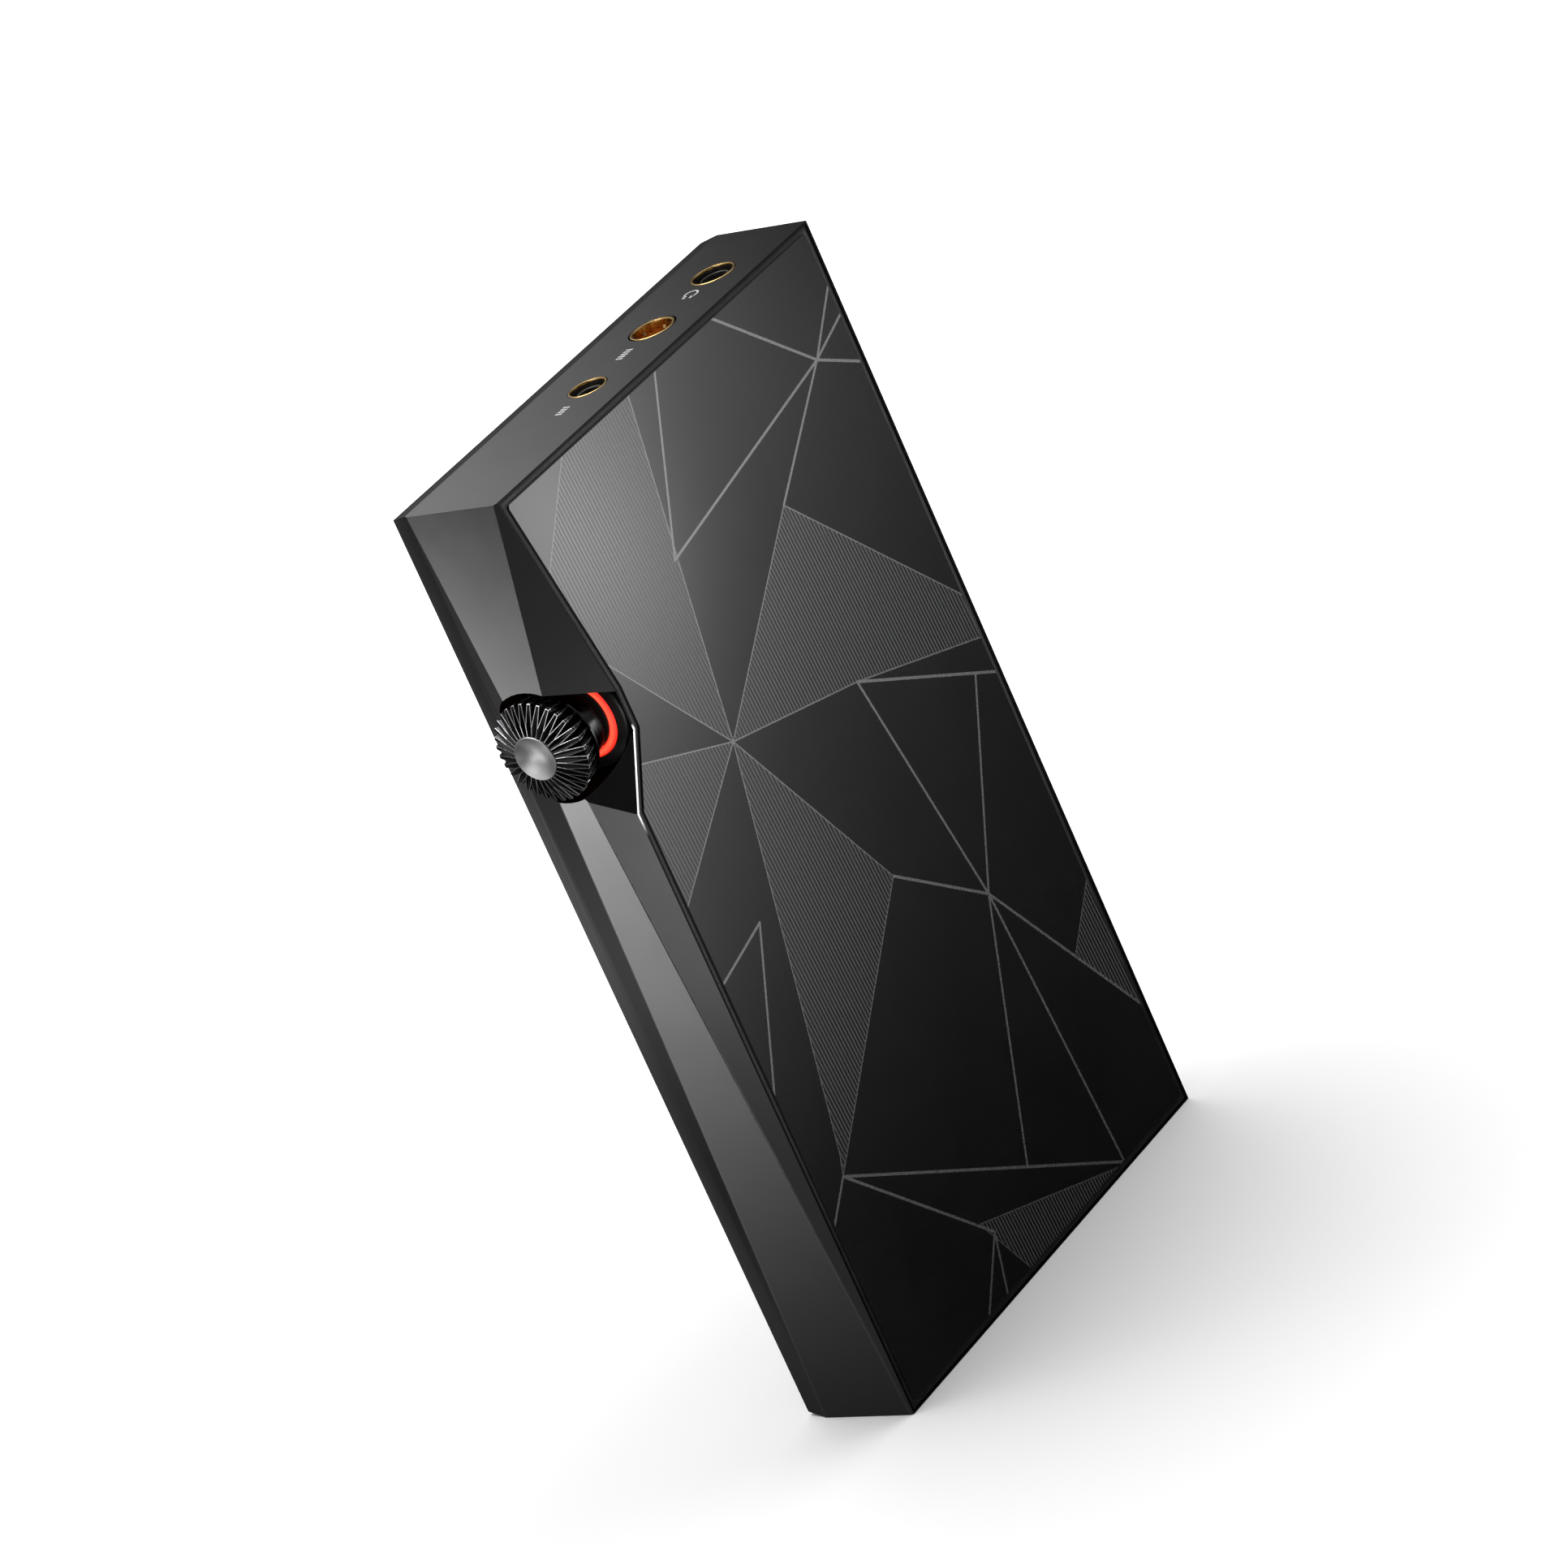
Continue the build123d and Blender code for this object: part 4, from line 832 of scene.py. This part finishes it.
# ====================================================================== sockets
JY = 1.75
SOCKETS = [("35", -25.16, 3.25, 2.75), ("44", -9.94, 3.23, 2.70), ("25", 6.0, 2.79, 2.35)]
for tag, jx, ro, ri in SOCKETS:
    prof = [(ri, 136.76), (ri, 138.75), (ri + 0.06, 139.08)] + \
        [(ri + 0.20 - 0.14 * math.cos(math.radians(a)), 139.20 + 0.20 * math.sin(math.radians(a)))
         for a in (0, 30, 60, 90)] + \
        [(ro - 0.10 + 0.10 * math.sin(math.radians(a)), 139.30 + 0.10 * math.cos(math.radians(a)))
         for a in (0, 30, 60, 90)] + [(ro, 136.76)]
    ring_ob = lathe(f"socket_{tag}_gold_ring", prof, [GOLD, RING_DARK], "player",
                    [f"jack_{tag}_ring"], "Z", (jx, JY, 0), steps=112)
    for f in ring_ob.data.polygons:
        rr = math.hypot(f.center.x / MM - jx, f.center.y / MM - JY)
        if tag != "44" and rr < ri + 0.08 and f.center.z < 0.13912:
            f.material_index = 1


def socket_body(tag, jx, bore):
    bm = cad_bmesh(f"jack_{tag}_body")
    for f in bm.faces:
        c = f.calc_center_median()
        rr = math.hypot(c.x - jx, c.y - JY)
        if tag == "44":
            f.material_index = 1 if rr < bore + 0.02 or c.z > 136.7 else 0
        else:
            f.material_index = 1 if c.z > 136.8 and rr > bore + 0.02 and rr < bore + 0.34 else 0
    rims = [e for e in bm.edges if convex(e) and angle(e) > 30 and mid(e).z > 136.7
            and math.hypot(mid(e).x - jx, mid(e).y - JY) < 2.4]
    bevel_edges(bm, rims, 0.12, 3)
    finish_mesh(bm, f"socket_{tag}_housing", [SOCKET, AMBER if tag == "44" else BARREL], "player",
                [f"jack_{tag}_body"], smooth=32)


socket_body("35", -25.16, 1.8)
socket_body("44", -9.94, 2.25)
socket_body("25", 6.0, 1.3)


def contacts(tag, jx, r, z0, z1, count, body="player"):
    """Sprung contact fingers that stand around a socket's mouth."""
    bm = bmesh.new()
    for k in range(count):
        a = TAU * (k + 0.5) / count
        ca, sa = math.cos(a), math.sin(a)
        w = 0.42
        rows = []
        for z, rr, th in ((z0, r + 0.28, 0.16), (z0 + (z1 - z0) * 0.45, r + 0.12, 0.16),
                          (z1 - 0.35, r - 0.02, 0.16), (z1, r + 0.14, 0.14)):
            rows.append([bm.verts.new((jx + (rr + dr) * ca - s * w * sa / 2, JY + (rr + dr) * sa + s * w * ca / 2, z))
                         for dr, s in ((0, -1), (0, 1), (th, 1), (th, -1))])
        for p, q in zip(rows, rows[1:]):
            for i in range(4):
                j = (i + 1) % 4
                bm.faces.new((p[i], p[j], q[j], q[i]))
        bm.faces.new(list(reversed(rows[0])))
        bm.faces.new(rows[-1])
    bmesh.ops.recalc_face_normals(bm, faces=bm.faces)
    finish_mesh(bm, f"socket_{tag}_contacts", [GOLD], body, smooth=30)


contacts("44", -9.94, 2.28, 136.85, 138.55, 5)

# ================================================================ printed marks
Z_MARK = TOP + 0.022


def flat_shape(name, polys):
    bm = bmesh.new()
    for poly in polys:
        poly = ccw(poly)
        t = [bm.verts.new((x, y, Z_MARK)) for x, y in poly]
        b = [bm.verts.new((x, y, TOP - 0.05)) for x, y in poly]
        bm.faces.new(t)
        bm.faces.new(list(reversed(b)))
        n = len(poly)
        for i in range(n):
            j = (i + 1) % n
            bm.faces.new((b[i], b[j], t[j], t[i]))
    bmesh.ops.recalc_face_normals(bm, faces=bm.faces)
    finish_mesh(bm, name, [MARK], "player", smooth=30)


def sector(cx, cy, r0, r1, a0, a1, n=14):
    return arc(cx, cy, r1, a0, a1, n) + list(reversed(arc(cx, cy, r0, a0, a1, n)))


def bar(cx, cy, w, h):
    return [(cx - w / 2, cy - h / 2), (cx + w / 2, cy - h / 2), (cx + w / 2, cy + h / 2), (cx - w / 2, cy + h / 2)]


hx, hy = -19.3, 2.0
flat_shape("mark_headphones", [sector(hx, hy, 0.86, 1.12, 38, 322, 22),
                               bar(hx + 0.84, hy - 0.60, 0.74, 0.42), bar(hx + 0.84, hy + 0.60, 0.74, 0.42)])
flat_shape("mark_plug_five", [bar(-2.8 + o, 1.9, 0.34, 1.15) for o in (-1.24, -0.62, 0, 0.62, 1.24)])
flat_shape("mark_plug_four", [bar(12.4 + o, 2.0, 0.34, 1.15) for o in (-0.93, -0.31, 0.31, 0.93)])

# ============================================================ buttons and ports
for name in ("previous_button", "play_button", "next_button"):
    bm = cad_bmesh(name)
    bevel_edges(bm, [e for e in bm.edges if convex(e) and 30 < angle(e) < 70 and mid(e).x < -38.2], 0.08, 2)
    finish_mesh(bm, name + "_cap", [BUTTON], name, [name], smooth=30, weighted=True)

bm = cad_bmesh("usb_c_receptacle")
for f in bm.faces:
    c = f.calc_center_median()
    f.material_index = 1 if abs(c.y - 1.2) < 0.36 and abs(c.x) < 3.4 and c.z > 1.1 else 0
bevel_edges(bm, [e for e in bm.edges if convex(e) and angle(e) > 30 and mid(e).z < 0.3], 0.05, 2)
finish_mesh(bm, "usb_socket_shell", [PORT, SOCKET], "player", ["usb_c_receptacle"], smooth=30)
bm = cad_bmesh("microsd_socket")
bevel_edges(bm, [e for e in bm.edges if convex(e) and angle(e) > 30 and mid(e).z < 2.8], 0.04, 2)
finish_mesh(bm, "card_socket_shell", [PORT], "player", ["microsd_socket"], smooth=30)

# ============================================================ carried-over nodes
for node, m in {
    "display_panel": PANEL, "battery_pad": FOAM, "battery_cell": FOIL, "battery_lead": WIRE,
    "main_board": BOARD, "processor_chip": CHIP, "memory_chips": CHIP, "thermal_pad": PAD,
    "digital_shield_can": CAN, "analog_board": BOARD, "dac_chips": CHIP, "amplifier_chips": CHIP,
    "analog_shield_can": CAN, "board_connector": SOCKET, "heat_spreader": COPPER,
    "antenna_module": CAN, "display_flex": FLEX, "jack_board": BOARD, "wheel_flex": FLEX,
    "encoder_body": ENCODER, "encoder_rotor": ENCODER, "encoder_board": BOARD, "power_switch": SWITCH,
    "led_board": WELL, "button_switches": SWITCH, "button_board": BOARD, "button_bracket": BRACKET,
    "bottom_board": BOARD, "board_screws": SCREW,
}.items():
    paint(node, m)

# ================================================================ stage and light
scene = bpy.context.scene
scene.view_settings.view_transform = "Standard"
scene.view_settings.look = "None"
scene.view_settings.exposure = 0.0
scene.view_settings.gamma = 1.0


def stage_material():
    """White floor with a painted glow that grows away from the object, so painted shade stays near it. Gloss sees
    painted pools of light instead, dimmed towards the object as a painted shadow.
    """
    m = bpy.data.materials.new("stage_floor_white")
    m.use_nodes = True
    t = m.node_tree
    t.nodes.clear()
    out = t.nodes.new("ShaderNodeOutputMaterial")
    mixs = t.nodes.new("ShaderNodeMixShader")
    lp = t.nodes.new("ShaderNodeLightPath")
    dif = t.nodes.new("ShaderNodeBsdfDiffuse")
    dif.inputs["Color"].default_value = (0.86, 0.86, 0.865, 1)
    em = t.nodes.new("ShaderNodeEmission")
    geo = t.nodes.new("ShaderNodeNewGeometry")

    def mth(op, a, b=None):
        n = t.nodes.new("ShaderNodeMath")
        n.operation = op
        for i, x in enumerate((a, b)):
            if isinstance(x, bpy.types.NodeSocket):
                t.links.new(x, n.inputs[i])
            elif x is not None:
                n.inputs[i].default_value = x
        return n.outputs[0]

    def pool(cx, cy, r, amp, stretch=1.0, turn=0.0):
        sub = t.nodes.new("ShaderNodeMapping")
        sub.vector_type = "TEXTURE"
        sub.inputs["Location"].default_value = (cx, cy, 0)
        sub.inputs["Rotation"].default_value = (0, 0, math.radians(turn))
        sub.inputs["Scale"].default_value = (r, r * stretch, 1)
        t.links.new(geo.outputs["Position"], sub.inputs[0])
        ln = t.nodes.new("ShaderNodeVectorMath")
        ln.operation = "DOT_PRODUCT"
        t.links.new(sub.outputs[0], ln.inputs[0])
        t.links.new(sub.outputs[0], ln.inputs[1])
        return mth("MULTIPLY", mth("EXPONENT", mth("MULTIPLY", ln.outputs["Value"], -1.0)), amp)

    total = None
    for args in FLOOR_POOLS:
        p = pool(*args)
        total = p if total is None else mth("ADD", total, p)
    # Painted shadow in the reflections: the pools are dimmed near the object.
    near = pool(0.0, 0.0, 0.11, 1.0)
    total = mth("MULTIPLY", mth("ADD", total, FLOOR_BASE), mth("SUBTRACT", 1.0, mth("MULTIPLY", near, 0.85)))
    t.links.new(total, em.inputs["Strength"])
    em.inputs["Color"].default_value = (1.0, 1.0, 1.0, 1)
    t.links.new(lp.outputs["Is Glossy Ray"], mixs.inputs[0])
    # Painted shade: glow added to the floor, growing with distance from the object, so the floor stays darker near
    # it.
    glow = t.nodes.new("ShaderNodeEmission")
    away = mth("SUBTRACT", 1.0, pool(0.03, 0.02, 0.26, 1.0))
    t.links.new(mth("MULTIPLY", away, 0.65), glow.inputs["Strength"])
    both = t.nodes.new("ShaderNodeAddShader")
    t.links.new(dif.outputs[0], both.inputs[0])
    t.links.new(glow.outputs[0], both.inputs[1])
    t.links.new(both.outputs[0], mixs.inputs[1])
    t.links.new(em.outputs[0], mixs.inputs[2])
    t.links.new(mixs.outputs[0], out.inputs[0])
    return m


# Painted reflections: instead of its white, gloss sees the floor as these pools of light on a faint base glow.
FLOOR_BASE = 0.05
# centre x, centre y, radius, brightness, stretch along its second axis, turn
FLOOR_POOLS = [
    (-0.243, 0.268, 0.077, 2.33, 0.20, 137.3),
    (-0.360, 0.445, 0.200, 5.00, 0.34, 130.9),
    (-0.098, 0.226, 0.140, 3.36, 0.37, 137.5),
    (0.201, -0.155, 0.166, 0.66, 0.20, -42.1),
    (0.375, -0.416, 0.152, 2.94, 0.40, -49.3),
    (0.527, -0.189, 0.252, 3.00, 0.25, 0.0),
    (0.244, 0.096, 0.095, 0.54, 0.84, -37.8),
    (-0.250, -0.300, 0.150, 0.90, 0.70, 50.0),
]

bm = bmesh.new()
bmesh.ops.create_grid(bm, x_segments=8, y_segments=8, size=9.0)
me = bpy.data.meshes.new("stage_floor")
bm.to_mesh(me)
bm.free()
me.materials.append(stage_material())
floor = bpy.data.objects.new("stage_floor", me)
floor.location = (0, 0, -0.00005)
scene.collection.objects.link(floor)


def card(name, centre, normal, w, h, strength, soft=0.35, colour=(1, 1, 1)):
    """A soft light panel that only shows in gloss."""
    bm = bmesh.new()
    n = Vector(normal).normalized()
    side_v = n.cross(Vector((0, 0, 1))).normalized()
    up = side_v.cross(n).normalized()
    c = Vector(centre)
    vs = [bm.verts.new(c + side_v * sx * w / 2 + up * sy * h / 2) for sx, sy in ((-1, -1), (1, -1), (1, 1), (-1, 1))]
    f = bm.faces.new(vs)
    uv = bm.loops.layers.uv.new("UVMap")
    for lp, co in zip(f.loops, ((0, 0), (1, 0), (1, 1), (0, 1))):
        lp[uv].uv = co
    me = bpy.data.meshes.new(name)
    bm.to_mesh(me)
    bm.free()
    m = bpy.data.materials.new(name)
    m.use_nodes = True
    t = m.node_tree
    t.nodes.clear()
    out = t.nodes.new("ShaderNodeOutputMaterial")
    em = t.nodes.new("ShaderNodeEmission")
    tr = t.nodes.new("ShaderNodeBsdfTransparent")
    mx = t.nodes.new("ShaderNodeMixShader")
    tc = t.nodes.new("ShaderNodeTexCoord")
    sep = t.nodes.new("ShaderNodeSeparateXYZ")
    t.links.new(tc.outputs["UV"], sep.inputs[0])
    facs = []
    for i in range(2):
        for lo, hi, a, b in ((0, soft, 0, 1), (1 - soft, 1, 1, 0)):
            mr = t.nodes.new("ShaderNodeMapRange")
            mr.interpolation_type = "SMOOTHSTEP"
            mr.inputs["From Min"].default_value = lo
            mr.inputs["From Max"].default_value = hi
            mr.inputs["To Min"].default_value = a
            mr.inputs["To Max"].default_value = b
            t.links.new(sep.outputs[i], mr.inputs["Value"])
            facs.append(mr.outputs[0])
    prod = facs[0]
    for x in facs[1:]:
        mm = t.nodes.new("ShaderNodeMath")
        mm.operation = "MULTIPLY"
        t.links.new(prod, mm.inputs[0])
        t.links.new(x, mm.inputs[1])
        prod = mm.outputs[0]
    em.inputs["Strength"].default_value = strength
    em.inputs["Color"].default_value = rgba(colour)
    t.links.new(prod, mx.inputs[0])
    t.links.new(tr.outputs[0], mx.inputs[1])
    t.links.new(em.outputs[0], mx.inputs[2])
    t.links.new(mx.outputs[0], out.inputs[0])
    me.materials.append(m)
    ob = bpy.data.objects.new(name, me)
    scene.collection.objects.link(ob)
    ob.visible_camera = False
    ob.visible_diffuse = False
    ob.visible_shadow = False
    ob.visible_transmission = False
    ob.visible_volume_scatter = False
    return ob


card("stage_panel_top_face", (-0.112, -0.205, 0.247), (0.683, 0.636, -0.359), 0.26, 0.26, 0.62, 0.5)


def light(name, loc, target, size, energy, colour=(1, 1, 1), size_y=None):
    data = bpy.data.lights.new(name, "AREA")
    data.shape = "RECTANGLE"
    data.size = size
    data.size_y = size_y or size
    data.energy = energy
    data.color = colour
    ob = bpy.data.objects.new(name, data)
    ob.location = loc
    ob.rotation_euler = (Vector(target) - Vector(loc)).to_track_quat("-Z", "Y").to_euler()
    scene.collection.objects.link(ob)
    return ob


light("key_soft", (-0.02, -0.34, 1.30), (0, 0.02, 0.03), 0.95, 14.5)
fill = light("fill_soft", (-0.46, 0.40, 1.02), (0, 0, 0.03), 0.60, 3.2)
fill.visible_glossy = False

world = bpy.data.worlds.new("studio")
scene.world = world
world.use_nodes = True
wt = world.node_tree
wt.nodes.clear()


def wn(kind, **inputs):
    n = wt.nodes.new(kind)
    return n


wo = wn("ShaderNodeOutputWorld")
lp = wn("ShaderNodeLightPath")
tc = wn("ShaderNodeTexCoord")


def wmath(op, a, b=None):
    n = wn("ShaderNodeMath")
    n.operation = op
    for i, x in enumerate((a, b)):
        if isinstance(x, bpy.types.NodeSocket):
            wt.links.new(x, n.inputs[i])
        elif x is not None:
            n.inputs[i].default_value = x
    return n.outputs[0]


def lobe(direction, power, amp):
    """A soft patch of light or dark about a direction."""
    d = wn("ShaderNodeVectorMath")
    d.operation = "DOT_PRODUCT"
    wt.links.new(tc.outputs["Generated"], d.inputs[0])
    d.inputs[1].default_value = Vector(direction).normalized()
    return wmath("MULTIPLY", wmath("POWER", wmath("MAXIMUM", d.outputs["Value"], 0.0), power), amp)


zsep = wn("ShaderNodeSeparateXYZ")
wt.links.new(tc.outputs["Generated"], zsep.inputs[0])
rise = wn("ShaderNodeMapRange")
rise.interpolation_type = "SMOOTHSTEP"
wt.links.new(zsep.outputs[2], rise.inputs["Value"])
rise.inputs["From Min"].default_value = 0.40
rise.inputs["From Max"].default_value = 0.95
rise.inputs["To Min"].default_value = 0.05
rise.inputs["To Max"].default_value = 1.25
gloss = rise.outputs["Result"]
gloss = wmath("MULTIPLY", gloss, wmath("SUBTRACT", 1.0, lobe((0.683, 0.636, 0.359), 3.0, 0.96)))
gloss = wmath("ADD", gloss, lobe((0.33, -0.66, 0.66), 14.0, 0.9))
gloss = wmath("ADD", gloss, lobe((0.97, -0.10, 0.20), 12.0, 1.6))
gloss = wmath("ADD", gloss, lobe((-0.64, 0.64, 0.42), 8.0, 0.30))
gloss = wmath("ADD", gloss, lobe((0.68, -0.68, 0.28), 10.0, 0.25))
bg_gloss = wn("ShaderNodeBackground")
wt.links.new(gloss, bg_gloss.inputs["Strength"])
bg_diff = wn("ShaderNodeBackground")
bg_diff.inputs["Color"].default_value = (1, 1, 1, 1)
bg_diff.inputs["Strength"].default_value = 0.43
bg_cam = wn("ShaderNodeBackground")
bg_cam.inputs["Color"].default_value = (1, 1, 1, 1)
bg_cam.inputs["Strength"].default_value = 1.0
m1 = wn("ShaderNodeMixShader")
m2 = wn("ShaderNodeMixShader")
wt.links.new(lp.outputs["Is Glossy Ray"], m1.inputs[0])
wt.links.new(bg_diff.outputs[0], m1.inputs[1])
wt.links.new(bg_gloss.outputs[0], m1.inputs[2])
wt.links.new(lp.outputs["Is Camera Ray"], m2.inputs[0])
wt.links.new(m1.outputs[0], m2.inputs[1])
wt.links.new(bg_cam.outputs[0], m2.inputs[2])
wt.links.new(m2.outputs[0], wo.inputs[0])

# ======================================================================= camera
cam = bpy.data.cameras.new("camera")
cam.lens = 170.83
cam.sensor_width = 36.0
cam.clip_start = 0.02
cam.clip_end = 60.0
camera = bpy.data.objects.new("camera", cam)
scene.collection.objects.link(camera)
right, up, back = (Vector((-0.5132521, 0.7677009, -0.3836764)), Vector((-0.5193815, 0.0780557, 0.8509701)),
                   Vector((0.6832387, 0.6360366, 0.3586674)))
back.normalize()
right = (right - back * right.dot(back)).normalized()
up = back.cross(right)
rot = Matrix((right, up, back)).transposed()
camera.matrix_world = Matrix.Translation((0.67676, 0.62902, 0.43093)) @ rot.to_4x4()
scene.camera = camera
